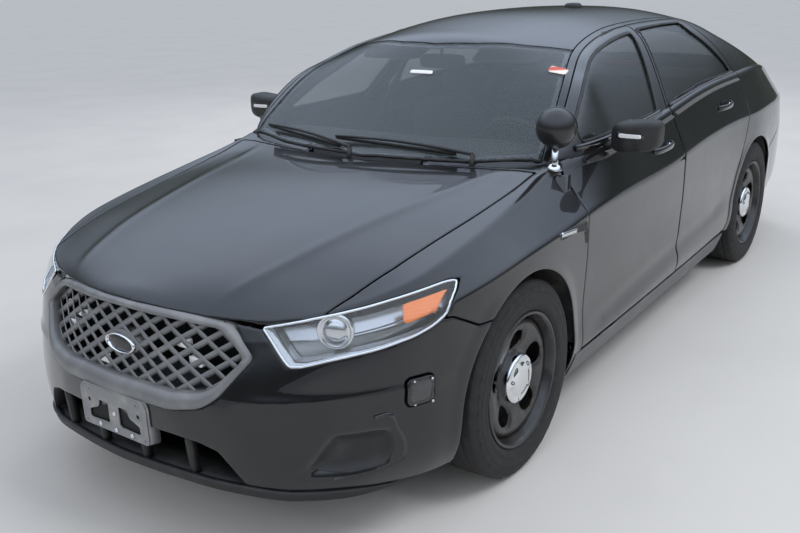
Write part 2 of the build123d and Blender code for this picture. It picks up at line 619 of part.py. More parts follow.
def make_sills():
    sill = outer_body & block(SILL_REAR_X, SILL_FRONT_X, 700, 1100, 176, SILL_TOP_Z)
    return both_solids(largest(sill - sill_inner))


def both_solids(shape):
    solids = list(shape.solids())
    return Compound(solids + [piece for solid in solids for piece in other_side(solid).solids()])


def make_subframe():
    shape = block(1450, 1655, -430, 430, 196, 262)
    for side in (-1, 1):
        shape += rod((FRONT_AXLE_X, side * 420, 215), (FRONT_AXLE_X, side * (KINGPIN_Y + 6), 215), 11)
        shape += rod((FRONT_AXLE_X, side * KINGPIN_Y, 205), (FRONT_AXLE_X, side * KINGPIN_Y, 262), KINGPIN_RADIUS)
        shape += rod((FRONT_AXLE_X, side * 600, 215), (FRONT_AXLE_X, side * 600, 774), 26)
        shape += block(1500, 1600, *sorted((side * 402, side * 428)), 255, 330)
    return shape


def make_rear_suspension():
    shape = block(-1385, -1245, -560, 560, 300, 372)
    shape += rod((REAR_AXLE_X, -834, HUB_HEIGHT), (REAR_AXLE_X, 834, HUB_HEIGHT), 52)
    shape += rod((REAR_AXLE_X, -870, HUB_HEIGHT), (REAR_AXLE_X, 870, HUB_HEIGHT), SPINDLE_RADIUS)
    for side in (-1, 1):
        shape += rod((REAR_AXLE_X, side * 770, HUB_HEIGHT), (REAR_AXLE_X, side * 798, HUB_HEIGHT), 160)
        shape += rod((-1440, side * 610, 350), (-1440, side * 610, 438), 30)
        shape += block(-1460, -1300, *sorted((side * 590, side * 630)), 330, 372)
    return shape


def make_exhaust():
    shape = rod((1000, -220, 185), (-1150, -220, 185), 27)
    shape += rod((-1150, -220, 185), (-1500, -400, 250), 27)
    shape += rod((-1500, -400, 250), (-1800, -400, 250), 27)
    shape += fillet(block(-2180, -1780, -560, -300, 215, 395).edges(), 40)
    shape += rod((-2150, -400, 250), (-2366, -400, 240), 32)
    for x in (800, 0, -800):
        shape += block(x - 15, x + 15, -228, -212, 205, FLOOR_BOTTOM_Z)
    shape += block(-2000, -1970, -440, -420, 380, 438)
    return shape


def make_dashboard():
    side_view = [(1012, 640), (1012, 950), (1008, 1000), (880, 1035), (740, 1020), (690, 940), (705, 780), (820, 640)]
    return prism_y(side_view, -760, 760)


def make_steering_wheel():
    tilt = math.radians(24)
    centre = (560, 380, 940)
    axis = Vector(math.cos(tilt), 0, -math.sin(tilt))
    plane = Plane(origin=centre, x_dir=(0, 1, 0), z_dir=axis)
    ring = extrude(plane * Circle(186), 15, both=True) - extrude(plane * Circle(156), 40, both=True)
    hub = extrude(plane * Circle(58), 20, both=True)
    for turn in (0, 180, 270):
        hub += plane * Rot(0, 0, turn) * Pos(110, 0, 0) * Box(120, 36, 14)
    column = rod(centre, (centre[0] + 150 * axis.X, centre[1], centre[2] + 150 * axis.Z), 30)
    return ring + hub + column


def make_seat(y0, y1):
    cushion = [(400, 360), (405, 440), (370, 478), (-70, 440), (-90, 360)]
    back = [(-70, 400), (-120, 560), (-215, 1010), (-330, 1010), (-270, 560), (-190, 360), (-90, 360)]
    rest = [(-230, 1035), (-225, 1170), (-300, 1185), (-320, 1040)]
    shape = prism_y(cushion, y0, y1) + prism_y(back, y0, y1)
    shape += prism_y(rest, y0 + 110, y1 - 110)
    middle = (y0 + y1) / 2
    shape += rod((-280, middle - 40, 980), (-280, middle - 40, 1060), 8)
    shape += rod((-280, middle + 40, 980), (-280, middle + 40, 1060), 8)
    shape += block(-60, 330, y0 + 60, y1 - 60, FLOOR_TOP_Z, 380)
    return shape


def make_rear_seat():
    outline = [
        (-540, 300), (-530, 440), (-570, 478), (-1010, 450), (-1120, 1040), (-1290, 1050),
        (-1300, 470), (-1150, 462), (-1150, 300),
    ]
    shape = prism_y(outline, -620, 620)
    return shape + block(-1120, -600, -500, 500, FLOOR_TOP_Z, 320)


def make_spotlamp(*neighbours):
    shape = Pos(1085, 815, 1177) * Sphere(76)
    shape += rod((1085, 806, 1010), (1085, 812, 1110), 22)
    shape += rod((1085, 811, 1078), (1085, 812, 1100), 34)
    for neighbour in neighbours:
        shape -= neighbour
    return largest(shape)


def make_antenna():
    return rod((-468, 150, 1520), (-468, 150, 1560), 48) - outer_green


# Each spindle leans back from the cowl to its arm, so the opening hood passes ahead of it.
def make_wipers(cowl):
    rows = [
        ((1164, 500, 1063), (1188, -170, 1087), (1180, 500, 940)),
        ((1232, -60, 1056), (1102, -640, 1090), (1246, -60, 940)),
    ]
    wipers = []
    for pivot, tip, foot in rows:
        spindle = rod(foot, (foot[0], foot[1], 1016), 6) + rod((foot[0], foot[1], 1016), pivot, 6)
        wipers.append(largest(rod(pivot, tip, 8) + spindle - cowl))
    return Compound(wipers)


parts = {}
parts["hood"] = make_hood()
parts["trunk_lid"] = make_trunk_lid()
parts["roof_panel"] = make_roof()
parts["front_fender_left"] = make_fender()
parts["side_frame_left"] = make_side_frame(parts["front_fender_left"])
parts["door_front_left"] = make_door(FRONT_DOOR, FRONT_WINDOW)
parts["door_rear_left"] = make_door(REAR_DOOR, REAR_WINDOW)
parts["front_bumper"] = make_front_bumper()
parts["rear_bumper"] = make_rear_bumper()
parts["windshield"] = make_glass(WINDSHIELD_BASE, WINDSHIELD_TOP)
parts["rear_window"] = make_glass(BACKLIGHT_TOP, BACKLIGHT_BASE)
parts["glass_front_left"] = make_side_glass(FRONT_WINDOW)
parts["glass_rear_left"] = make_side_glass(REAR_WINDOW)
parts["headlamp_left"] = make_headlamp()
parts["tail_lamp_left"] = make_tail_lamp()
parts["handle_front_left"] = make_handle(84, 312, 958, 918, parts["door_front_left"])
parts["handle_rear_left"] = make_handle(-905, -690, 1010, 900, parts["door_rear_left"])
parts["mirror_left"] = make_mirror(parts["door_front_left"])
for name in list(parts):
    if name.endswith("_left"):
        parts[name.replace("_left", "_right")] = other_side(parts[name])
parts["spotlamp"] = make_spotlamp(parts["front_fender_left"], parts["side_frame_left"])
ring, mesh, badge = make_grille()
grille_mesh = mesh + badge
parts["grille"] = Compound(list((ring + grille_mesh).solids()))
parts["plate_bracket"] = make_plate_bracket()
parts["corner_lamps"] = both_solids(corner_lamp_block(0.0))
parts["floor_pan"] = make_floor_pan()
parts["cowl_panel"] = make_cowl(parts["hood"])
parts["wheelhouse_liners"] = make_liners()
parts["sill_mouldings"] = make_sills()
parts["front_subframe"] = make_subframe()
parts["rear_suspension"] = make_rear_suspension()
parts["exhaust"] = make_exhaust()
parts["fuel_tank"] = fillet(block(-1120, -700, -60, 560, 165, FLOOR_BOTTOM_Z).edges(), 12)
parts["engine_block"] = fillet(block(1270, 1850, -320, 320, 300, 830).edges(), 30)
parts["radiator"] = block(2240, 2290, -370, 370, 260, 690)
parts["dashboard"] = make_dashboard()
parts["steering_wheel"] = make_steering_wheel() - parts["dashboard"]
parts["front_seats"] = Compound(list(make_seat(180, 660).solids()) + list(make_seat(-660, -180).solids()))
parts["rear_seat"] = make_rear_seat()
parts["antenna"] = make_antenna()
parts["wipers"] = make_wipers(parts["cowl_panel"])
parts["knuckle_front_left"] = make_knuckle(1)
parts["knuckle_front_right"] = make_knuckle(-1)
WHEELS = [
    ("front_left", FRONT_AXLE_X, WHEEL_CENTRE_Y, 1), ("front_right", FRONT_AXLE_X, -WHEEL_CENTRE_Y, -1),
    ("rear_left", REAR_AXLE_X, WHEEL_CENTRE_Y, 1), ("rear_right", REAR_AXLE_X, -WHEEL_CENTRE_Y, -1),
]
for name, x, y, outward in WHEELS:
    parts["tyre_" + name] = make_tyre(x, y)
    parts["rim_" + name] = make_rim(x, y, outward)

for name, shape in parts.items():
    solids = shape.solids()
    box = shape.bounding_box()
    sizes = [round(s.volume / 1e3) for s in sorted(solids, key=lambda s: -s.volume)]
    print(name, len(solids), sizes[:6], [round(v) for v in (*box.min, *box.max)], shape.is_valid)
    export_step(Compound(solids), "parts/" + name + ".step")
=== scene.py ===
import math

import bpy
import numpy as np
from mathutils import Matrix, Vector


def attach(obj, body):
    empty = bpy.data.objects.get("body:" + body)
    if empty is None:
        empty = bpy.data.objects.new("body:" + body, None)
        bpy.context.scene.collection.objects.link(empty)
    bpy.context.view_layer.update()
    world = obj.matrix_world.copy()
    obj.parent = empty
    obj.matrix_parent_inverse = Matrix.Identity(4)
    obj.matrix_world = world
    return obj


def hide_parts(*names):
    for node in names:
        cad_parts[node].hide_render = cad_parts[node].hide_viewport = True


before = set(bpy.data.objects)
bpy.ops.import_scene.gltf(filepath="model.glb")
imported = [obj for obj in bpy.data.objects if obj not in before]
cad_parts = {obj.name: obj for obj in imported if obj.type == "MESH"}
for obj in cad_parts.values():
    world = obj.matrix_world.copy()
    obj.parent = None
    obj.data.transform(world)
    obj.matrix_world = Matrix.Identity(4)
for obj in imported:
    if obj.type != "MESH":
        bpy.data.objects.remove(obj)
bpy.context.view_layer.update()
mm = 0.001
print("frame loaded")


# Puts the camera where the photo was taken: back is the way from the car to the camera, turned by the roll
def aimCamera():
    settings = dict(place=(4.116, 2.269, 1.757), azimuth=125.905, elevation=18.499, roll=-1.795, lens=39.96)
    a, e, r = (math.radians(settings[k]) for k in ("azimuth", "elevation", "roll"))
    back = Vector((math.sin(a) * math.cos(e), -math.cos(a) * math.cos(e), math.sin(e)))
    right = Vector((0, 0, 1)).cross(back).normalized()
    up = back.cross(right)
    turnedRight = right * math.cos(r) + up * math.sin(r)
    turnedUp = up * math.cos(r) - right * math.sin(r)
    data = bpy.data.cameras.new("camera")
    data.lens, data.sensor_width = settings["lens"], 36
    camera = bpy.data.objects.new("camera", data)
    bpy.context.scene.collection.objects.link(camera)
    rows = [(u, v, b, p) for u, v, b, p in zip(turnedRight, turnedUp, back, settings["place"])]
    camera.matrix_world = Matrix(rows + [(0, 0, 0, 1)])
    bpy.context.scene.camera = camera


aimCamera()


# A shader socket that adds, subtracts, multiplies and divides as a number does
class Wire:
    # One output socket of a node in a tree
    def __init__(self, tree, socket):
        self.tree, self.socket = tree, socket

    # Any node: its type, its settings, and the values or links of its sockets
    @classmethod
    def node(cls, tree, kind, settings=None, inputs=None, output=0):
        node = tree.nodes.new(kind)
        for key, value in (settings or {}).items():
            setattr(node, key, value)
        for key, value in (inputs or {}).items():
            if isinstance(value, Wire):
                tree.links.new(value.socket, node.inputs[key])
            else:
                node.inputs[key].default_value = value
        return cls(tree, node.outputs[output])

    # A maths node of the given kind over wires and numbers
    def math(self, kind, *values):
        return Wire.node(self.tree, "ShaderNodeMath", {"operation": kind}, dict(enumerate(values)))

    # Sums, differences, products and quotients with a wire or a number on either side
    def __add__(self, other):
        return self.math("ADD", self, other)

    def __radd__(self, other):
        return self.math("ADD", other, self)

    def __sub__(self, other):
        return self.math("SUBTRACT", self, other)

    def __rsub__(self, other):
        return self.math("SUBTRACT", other, self)

    def __mul__(self, other):
        return self.math("MULTIPLY", self, other)

    def __rmul__(self, other):
        return self.math("MULTIPLY", other, self)

    def __truediv__(self, other):
        return self.math("DIVIDE", self, other)

    def __rtruediv__(self, other):
        return self.math("DIVIDE", other, self)

    # The sine of the value in radians
    def sine(self):
        return self.math("SINE", self)

    # Nought up to the low value, one from the high value, an S curve between
    def ramp(self, low, high):
        inputs = {"Value": self, "From Min": low, "From Max": high}
        return Wire.node(self.tree, "ShaderNodeMapRange", {"interpolation_type": "SMOOTHSTEP"}, inputs)


# The first colour where the factor is nought, the second where it is one
def mixColours(tree, factor, first, second):
    inputs = {"Factor": factor, "A": first, "B": second}
    return Wire.node(tree, "ShaderNodeMix", {"data_type": "RGBA"}, inputs, "Result")


# One finish: shader values, with patterns in object coordinates for grain, stains and wear
class Finish:
    # A material with its plain shader values
    def __init__(self, name, colour, **values):
        self.material = bpy.data.materials.new(name)
        self.material.use_nodes = True
        self.tree = self.material.node_tree
        self.shader = self.tree.nodes["Principled BSDF"]
        self.colour = colour
        names = dict(roughness="Roughness", metallic="Metallic", coat="Coat Weight",
            coatRoughness="Coat Roughness", alpha="Alpha", specular="Specular IOR Level")
        self.shader.inputs["Base Color"].default_value = (*colour, 1)
        self.shader.inputs["IOR"].default_value = 1.5
        for key, value in values.items():
            self.shader.inputs[names[key]].default_value = value

    # A node of this finish's tree
    def node(self, kind, inputs=None, output=0):
        return Wire.node(self.tree, kind, None, inputs, output)

    # The place on the object, in metres
    def place(self):
        return self.node("ShaderNodeTexCoord", None, "Object")

    # One coordinate of that place
    def axis(self, which):
        return self.node("ShaderNodeSeparateXYZ", {0: self.place()}, which)

    # Soft noise about one half, the scale in waves per metre
    def noise(self, scale, detail=3.0):
        inputs = {"Scale": scale, "Detail": detail, "Vector": self.place()}
        return self.node("ShaderNodeTexNoise", inputs, "Fac")

    # The distance to the nearest of scattered points
    def cells(self, scale):
        return self.node("ShaderNodeTexVoronoi", {"Scale": scale, "Vector": self.place()}, "Distance")

    # The sine of a coordinate times a scale: even ribs across one axis
    def wave(self, which, scale):
        return (self.axis(which) * scale).sine()

    # Links a wire to a shader socket
    def feed(self, wire, socketName):
        self.tree.links.new(wire.socket, self.shader.inputs[socketName])
        return self

    # Mixes the finish's colour with another by an amount
    def tint(self, amount, other):
        return self.feed(mixColours(self.tree, amount, (*self.colour, 1), (*other, 1)), "Base Color")

    # Sets the roughness
    def rough(self, wire):
        return self.feed(wire, "Roughness")

    # Bends the normal by a height
    def bump(self, wire, strength, distance=0.001):
        inputs = {"Strength": strength, "Distance": distance, "Height": wire}
        return self.feed(self.node("ShaderNodeBump", inputs), "Normal")


# Every finish by its key. Grain is a pattern with its bump's strength and distance, stain a noise scale with
# its ramp and the second colour, wear a noise scale with the roughness's share and base
def makeFinishes():
    made = {}

    # One finish with its grain, stain and wear
    def add(key, name, colour, grain=None, stain=None, wear=None, **values):
        finish = made[key] = Finish(name, colour, **values)
        if grain:
            kind, *pattern, strength, distance = grain
            finish.bump(getattr(finish, kind)(*pattern), strength, distance)
        if stain:
            scale, low, high, other = stain
            finish.tint(finish.noise(scale).ramp(low, high), other)
        if wear:
            scale, share, base = wear
            finish.rough(finish.noise(scale) * share + base)
        return finish

    paint = add("paint", "blackPaint", (0.005, 0.0055, 0.007), wear=(9.0, 0.10, 0.26), roughness=0.32,
        coat=1.0, coatRoughness=0.015, specular=0.18)
    dust = paint.noise(3.0, 4.0).ramp(0.45, 0.75) * paint.noise(420.0, 1.0)
    paint.tint(dust * 0.10, (0.16, 0.15, 0.13))
    add("under", "seamBlack", (0.004, 0.004, 0.004), ("noise", 200.0, 3.0, 0.1, 0.001), roughness=0.7)
    add("glass", "tintedGlass", (0.03, 0.045, 0.045), wear=(4.0, 0.02, 0.005), roughness=0.0, alpha=0.30,
        specular=1.0, coat=1.0)
    add("sideGlass", "sideGlass", (0.02, 0.026, 0.026), wear=(4.0, 0.02, 0.005), roughness=0.0, alpha=0.5,
        specular=1.0, coat=1.0)
    add("frit", "fritBlack", (0.008, 0.008, 0.009), wear=(50.0, 0.05, 0.06), roughness=0.08, coat=1.0)
    add("plastic", "blackPlastic", (0.018, 0.018, 0.019), ("noise", 900.0, 2.0, 0.25, 0.0006),
        (14.0, 0.4, 0.8, (0.035, 0.035, 0.034)), roughness=0.55)
    add("gloss", "glossBlack", (0.008, 0.008, 0.009), wear=(30.0, 0.06, 0.09), roughness=0.12, coat=0.7)
    add("grey", "surroundGrey", (0.17, 0.175, 0.185), ("noise", 1200.0, 2.0, 0.12, 0.0004),
        (10.0, 0.45, 0.8, (0.24, 0.245, 0.25)), roughness=0.40, metallic=0.25)
    add("bracket", "bracketGrey", (0.21, 0.215, 0.225), ("noise", 700.0, 3.0, 0.3, 0.0006),
        (20.0, 0.4, 0.75, (0.30, 0.30, 0.30)), roughness=0.55)
    add("sill", "sillGrey", (0.13, 0.135, 0.14), ("noise", 600.0, 3.0, 0.15, 0.0005),
        (6.0, 0.45, 0.8, (0.20, 0.20, 0.20)), roughness=0.48, metallic=0.2)
    add("chrome", "chrome", (0.82, 0.83, 0.84), wear=(25.0, 0.10, 0.04), roughness=0.06, metallic=1.0)
    add("steel", "wheelSteel", (0.016, 0.016, 0.017), ("noise", 500.0, 3.0, 0.12, 0.0005),
        (12.0, 0.42, 0.8, (0.05, 0.045, 0.04)), roughness=0.38, coat=0.3)
    add("tyre", "tyreRubber", (0.018, 0.018, 0.018), ("noise", 350.0, 4.0, 0.3, 0.0007),
        (40.0, 0.45, 0.8, (0.032, 0.031, 0.029)), roughness=0.78)
    add("lens", "clearLens", (0.30, 0.32, 0.34), wear=(40.0, 0.05, 0.01), roughness=0.03, alpha=0.10,
        specular=1.0, coat=1.0)
    add("lampSilver", "lampSilver", (0.62, 0.64, 0.66), wear=(60.0, 0.15, 0.14), roughness=0.22,
        metallic=0.85)
    add("amber", "amberLens", (0.85, 0.22, 0.02), ("wave", 2, 700.0, 0.4, 0.0008), roughness=0.15, coat=0.8)
    add("red", "redLens", (0.42, 0.012, 0.012), ("wave", 2, 500.0, 0.3, 0.0008), roughness=0.12, coat=1.0)
    add("led", "ledClear", (0.78, 0.80, 0.84), ("wave", 1, 600.0, 0.4, 0.0008), roughness=0.18, coat=0.6)
    add("spot", "spotlampBlack", (0.012, 0.012, 0.013), ("noise", 800.0, 3.0, 0.08, 0.0004), roughness=0.33,
        coat=0.35)
    cloth = add("cloth", "seatCloth", (0.035, 0.036, 0.040), roughness=0.92)
    weave = cloth.wave(0, 2600.0) * cloth.wave(1, 2600.0)
    cloth.bump(weave + cloth.noise(300.0), 0.35, 0.0008)
    cloth.tint(cloth.noise(220.0).ramp(0.3, 0.8), (0.09, 0.09, 0.095))
    add("dash", "dashPlastic", (0.03, 0.03, 0.032), ("cells", 420.0, 0.3, 0.0006),
        (9.0, 0.4, 0.8, (0.05, 0.05, 0.05)), roughness=0.62)
    add("floor", "underPaint", (0.02, 0.02, 0.02), ("noise", 90.0, 4.0, 0.3, 0.001),
        (8.0, 0.4, 0.7, (0.06, 0.055, 0.05)), roughness=0.7)
    add("liner", "linerPlastic", (0.022, 0.022, 0.022), ("cells", 260.0, 0.6, 0.0015),
        (15.0, 0.4, 0.7, (0.06, 0.056, 0.05)), roughness=0.85)
    add("iron", "castIron", (0.14, 0.13, 0.125), ("noise", 160.0, 4.0, 0.5, 0.001),
        (30.0, 0.45, 0.75, (0.20, 0.10, 0.05)), roughness=0.6, metallic=0.7)
    add("disc", "brakeSteel", (0.42, 0.41, 0.40), ("noise", 300.0, 3.0, 0.1, 0.0004),
        (12.0, 0.45, 0.75, (0.30, 0.22, 0.16)), roughness=0.35, metallic=0.9)
    add("pipe", "exhaustSteel", (0.38, 0.36, 0.33), ("noise", 200.0, 3.0, 0.15, 0.0005),
        (8.0, 0.4, 0.7, (0.25, 0.17, 0.11)), roughness=0.4, metallic=0.9)
    add("radiator", "radiatorFins", (0.22, 0.22, 0.23), ("wave", 2, 1500.0, 0.8, 0.001), roughness=0.5,
        metallic=0.8)
    label = add("label", "stickerPaper", (0.75, 0.72, 0.70), roughness=0.6)
    label.tint(label.wave(2, 160.0).ramp(0.2, 0.9), (0.55, 0.10, 0.08))
    return {key: value.material for key, value in made.items()}


finishes = makeFinishes()
print("finishes ready")


# A pale floor, three soft lamps, and a sky whose reflection is darker below, as trees would be
def setStage():
    settings = dict(size=120.0, colour=(0.60, 0.60, 0.60), skyStrength=0.9, aim=(0.5, 0, 0.6))
    finish = Finish("paleFloor", settings["colour"], roughness=0.75)
    finish.tint(finish.noise(1.2, 5.0).ramp(0.3, 0.8), (0.56, 0.56, 0.565))
    finish.bump(finish.noise(60.0, 4.0), 0.1, 0.002)
    half = settings["size"]
    mesh = bpy.data.meshes.new("paleFloor")
    mesh.from_pydata([(-half, -half, 0), (half, -half, 0), (half, half, 0), (-half, half, 0)], [],
        [(0, 1, 2, 3)])
    mesh.materials.append(finish.material)
    floor = bpy.data.objects.new("paleFloor", mesh)
    bpy.context.scene.collection.objects.link(floor)
    world = bpy.data.worlds.new("softSky")
    bpy.context.scene.world = world
    world.use_nodes = True
    tree = world.node_tree
    coords = Wire.node(tree, "ShaderNodeTexCoord", output="Generated")
    height = Wire.node(tree, "ShaderNodeSeparateXYZ", None, {0: coords}, 2)
    glossyRay, cameraRay = (Wire.node(tree, "ShaderNodeLightPath", output=name) for name in ("Is Glossy Ray",
        "Is Camera Ray"))
    soft = mixColours(tree, height.ramp(0.0, 0.75), (0.50, 0.52, 0.52, 1), (0.92, 0.95, 1.0, 1))
    trees = mixColours(tree, height.ramp(0.05, 0.72), (0.05, 0.06, 0.05, 1), (1.25, 1.45, 1.80, 1))
    shown = mixColours(tree, cameraRay, mixColours(tree, glossyRay, soft, trees), (0.86, 0.87, 0.88, 1))
    background = tree.nodes["Background"]
    tree.links.new(shown.socket, background.inputs["Color"])
    background.inputs["Strength"].default_value = settings["skyStrength"]
    bpy.context.scene.view_settings.view_transform = "Standard"
    lamps = [("keyPanel", (0.5, 5.0, 6.5), 3.0, 260.0), ("noseFill", (8.0, 1.5, 4.0), 3.0, 90.0),
        ("backPanel", (-6.5, -4.0, 5.0), 3.0, 150.0)]
    for name, place, size, power in lamps:
        data = bpy.data.lights.new(name, "AREA")
        data.energy, data.size = power, size
        lamp = bpy.data.objects.new(name, data)
        bpy.context.scene.collection.objects.link(lamp)
        lamp.visible_glossy = False
        lamp.location = place
        lamp.rotation_mode = "QUATERNION"
        lamp.rotation_quaternion = (Vector(place) - Vector(settings["aim"])).to_track_quat("Z", "Y")


setStage()
print("stage set")


# Clamped cubic basis by the usual recursion; rows are parameters, columns are control points
def splineBasis(count, t):
    knots = np.concatenate([np.zeros(3), np.linspace(0, 1, count - 2), np.ones(3)])
    t = np.clip(t, 0, 1 - 1e-9)[:, None]
    basis = ((knots[:-1] <= t) & (t < knots[1:])).astype(float)
    for degree in (1, 2, 3):
        lowSpan = knots[degree:-1] - knots[:-degree - 1]
        highSpan = knots[degree + 1:] - knots[1:-degree]
        rise = np.where(lowSpan > 0, (t - knots[:-degree - 1]) / np.where(lowSpan > 0, lowSpan, 1), 0)
        fall = np.where(highSpan > 0, (knots[degree + 1:] - t) / np.where(highSpan > 0, highSpan, 1), 0)
        basis = rise * basis[:, :-1] + fall * basis[:, 1:]
    return basis


# One parameter for each control point: the mean of its three knots
def greville(count):
    knots = np.concatenate([np.zeros(3), np.linspace(0, 1, count - 2), np.ones(3)])
    return np.array([knots[i + 1:i + 4].mean() for i in range(count)])


# Moves control points part of the way to making the spline pass through the given points
def tighten(points, share, rounds=2):
    basis = splineBasis(len(points), greville(len(points)))
    control = points.copy()
    for _ in range(rounds):
        control = control + share * (points - np.tensordot(basis, control, axes=(1, 0)))
    return control


# Parameters that stand at even distances along a line
def evenSteps(line, t, count):
    run = np.concatenate([[0], np.cumsum(np.linalg.norm(np.diff(line, axis=0), axis=1))])
    return np.interp(np.linspace(0, run[-1], count), run, t)


# Evaluates a net of control points on even steps along its length and across it
def evaluateNet(points, steps, share=0.7):
    control = tighten(points, share)
    control = np.swapaxes(tighten(np.swapaxes(control, 0, 1), share), 0, 1)
    along, across = np.linspace(0, 1, 3000), np.linspace(0, 1, 1500)
    lengthLine = splineBasis(len(control), along) @ control[:, points.shape[1] // 2]
    widthLine = splineBasis(control.shape[1], across) @ control[len(control) // 2]
    lengthBasis = splineBasis(len(control), evenSteps(lengthLine, along, steps[0]))
    widthBasis = splineBasis(control.shape[1], evenSteps(widthLine, across, steps[1]))
    return np.einsum("vj,ujk->uvk", widthBasis, np.tensordot(lengthBasis, control, axes=(1, 0)))


# A grid of points as a triangle mesh; closed grids join their last row to their first
def gridMesh(grid, closed=False):
    rows, columns = grid.shape[:2]
    index = np.arange(rows * columns).reshape(rows, columns)
    if closed:
        index = np.vstack([index, index[:1]])
    a, b = index[:-1, :-1].ravel(), index[1:, :-1].ravel()
    c, d = index[1:, 1:].ravel(), index[:-1, 1:].ravel()
    triangles = np.concatenate([np.stack([a, b, c], 1), np.stack([a, c, d], 1)])
    return grid.reshape(-1, 3), triangles


# Splits triangles along field = level and keeps the side where the field is lower, or both sides
def cutMesh(verts, tris, field, level=0.0, both=False):
    value = field - level
    value = np.where(np.abs(value) < 0.4, 0.0, value)
    inside = value <= 0
    count = inside[tris].sum(1)
    crossing = (count == 1) | (count == 2)
    part, partCount = tris[crossing], count[crossing]
    keep = [tris[count == 3]]
    if both:
        keep.append(tris[count == 0])
    if len(part):
        flags = inside[part]
        odd = np.where(partCount == 1, flags.argmax(1), (~flags).argmax(1))
        rolled = part[np.arange(len(part))[:, None], (odd[:, None] + np.arange(3)) % 3]
        a, b, c = rolled.T
        pairs = np.sort(np.concatenate([np.stack([a, b], 1), np.stack([a, c], 1)]), axis=1)
        unique, where = np.unique(pairs, axis=0, return_inverse=True)
        where = where.ravel()
        low, high = value[unique[:, 0]], value[unique[:, 1]]
        share = (low / (low - high))[:, None]
        added = verts[unique[:, 0]] + share * (verts[unique[:, 1]] - verts[unique[:, 0]])
        ab, ac = where[:len(a)] + len(verts), where[len(a):] + len(verts)
        tip = np.stack([a, ab, ac], 1)
        rest = np.concatenate([np.stack([ab, b, c], 1), np.stack([ab, c, ac], 1)])
        tipInside = partCount == 1
        keep.append(tip if both else tip[tipInside])
        keep.append(rest if both else rest[np.concatenate([~tipInside, ~tipInside])])
        verts = np.concatenate([verts, added])
        field = np.concatenate([field, np.full(len(added), level)])
    tris = np.concatenate(keep)
    _, first, inverse = np.unique(np.round(verts, 2), axis=0, return_index=True, return_inverse=True)
    tris = inverse.ravel()[tris]
    verts, field = verts[first], field[first]
    tris = tris[(tris[:, 0] != tris[:, 1]) & (tris[:, 1] != tris[:, 2]) & (tris[:, 0] != tris[:, 2])]
    used, inverse = np.unique(tris, return_inverse=True)
    return verts[used], inverse.reshape(-1, 3), field[used]


# Signed distance to an outline drawn in two of the three axes; negative inside
def outlineField(outline, axes):
    corners = np.array(outline, float)

    # The least distance to an edge, negative where a ray crosses the outline an odd number of times
    def field(verts):
        q = verts[:, axes]
        nearest = np.full(len(q), 1e9)
        crossings = np.zeros(len(q), int)
        for a, b in zip(corners, np.roll(corners, -1, axis=0)):
            span = b - a
            share = np.clip(((q - a) @ span) / max(span @ span, 1e-9), 0, 1)
            nearest = np.minimum(nearest, np.linalg.norm(q - a - share[:, None] * span, axis=1))
            if a[1] != b[1]:
                over = (a[1] > q[:, 1]) != (b[1] > q[:, 1])
                crossings += over & (q[:, 0] < (b[0] - a[0]) * (q[:, 1] - a[1]) / (b[1] - a[1]) + a[0])
        return np.where(crossings % 2 == 1, -nearest, nearest)
    return field


# Moves an outline outward by a distance: each corner along the sum of its two edges' normals
def grow(outline, distance):
    corners = np.array(outline, float)
    before, after = np.roll(corners, 1, axis=0), np.roll(corners, -1, axis=0)
    area = np.sum(corners[:, 0] * after[:, 1] - after[:, 0] * corners[:, 1])
    turn = 1.0 if area > 0 else -1.0
    first, second = corners - before, after - corners
    n1 = turn * np.stack([first[:, 1], -first[:, 0]], 1) / np.linalg.norm(first, axis=1)[:, None]
    n2 = turn * np.stack([second[:, 1], -second[:, 0]], 1) / np.linalg.norm(second, axis=1)[:, None]
    return corners + distance * (n1 + n2) / (1 + (n1 * n2).sum(1))[:, None]


# Vertex normals: the sum of the faces' normals, each as long as its area
def normalsOf(verts, tris):
    face = np.cross(verts[tris[:, 1]] - verts[tris[:, 0]], verts[tris[:, 2]] - verts[tris[:, 0]])
    normals = np.zeros_like(verts)
    for corner in range(3):
        np.add.at(normals, tris[:, corner], face)
    return normals / np.maximum(np.linalg.norm(normals, axis=1), 1e-12)[:, None]


# A piece of the car from a mesh in millimetres, riding on a body
def put(name, mesh, material, slotName, body="car_body", smooth=True):
    data = bpy.data.meshes.new(name)
    verts = np.asarray(mesh[0] * mm, np.float32)
    faces = np.asarray(mesh[1], np.int32)
    data.vertices.add(len(verts))
    data.vertices.foreach_set("co", verts.ravel())
    data.loops.add(faces.size)
    data.loops.foreach_set("vertex_index", faces.ravel())
    data.polygons.add(len(faces))
    data.polygons.foreach_set("loop_start", np.arange(0, faces.size, 3, dtype=np.int32))
    data.polygons.foreach_set("use_smooth", np.full(len(faces), smooth))
    for item in (material if isinstance(material, list) else [material]):
        data.materials.append(finishes[item])
    data.update(calc_edges=True)
    data.validate()
    thing = bpy.data.objects.new(name, data)
    bpy.context.scene.collection.objects.link(thing)
    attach(thing, body)
    return thing


# Gives a sheet a thickness in millimetres: behind its face at offset -1, before it at 1
def thicken(thing, thickness, offset=-1):
    solid = thing.modifiers.new("thickness", "SOLIDIFY")
    solid.thickness, solid.offset = thickness * mm, offset
    return solid


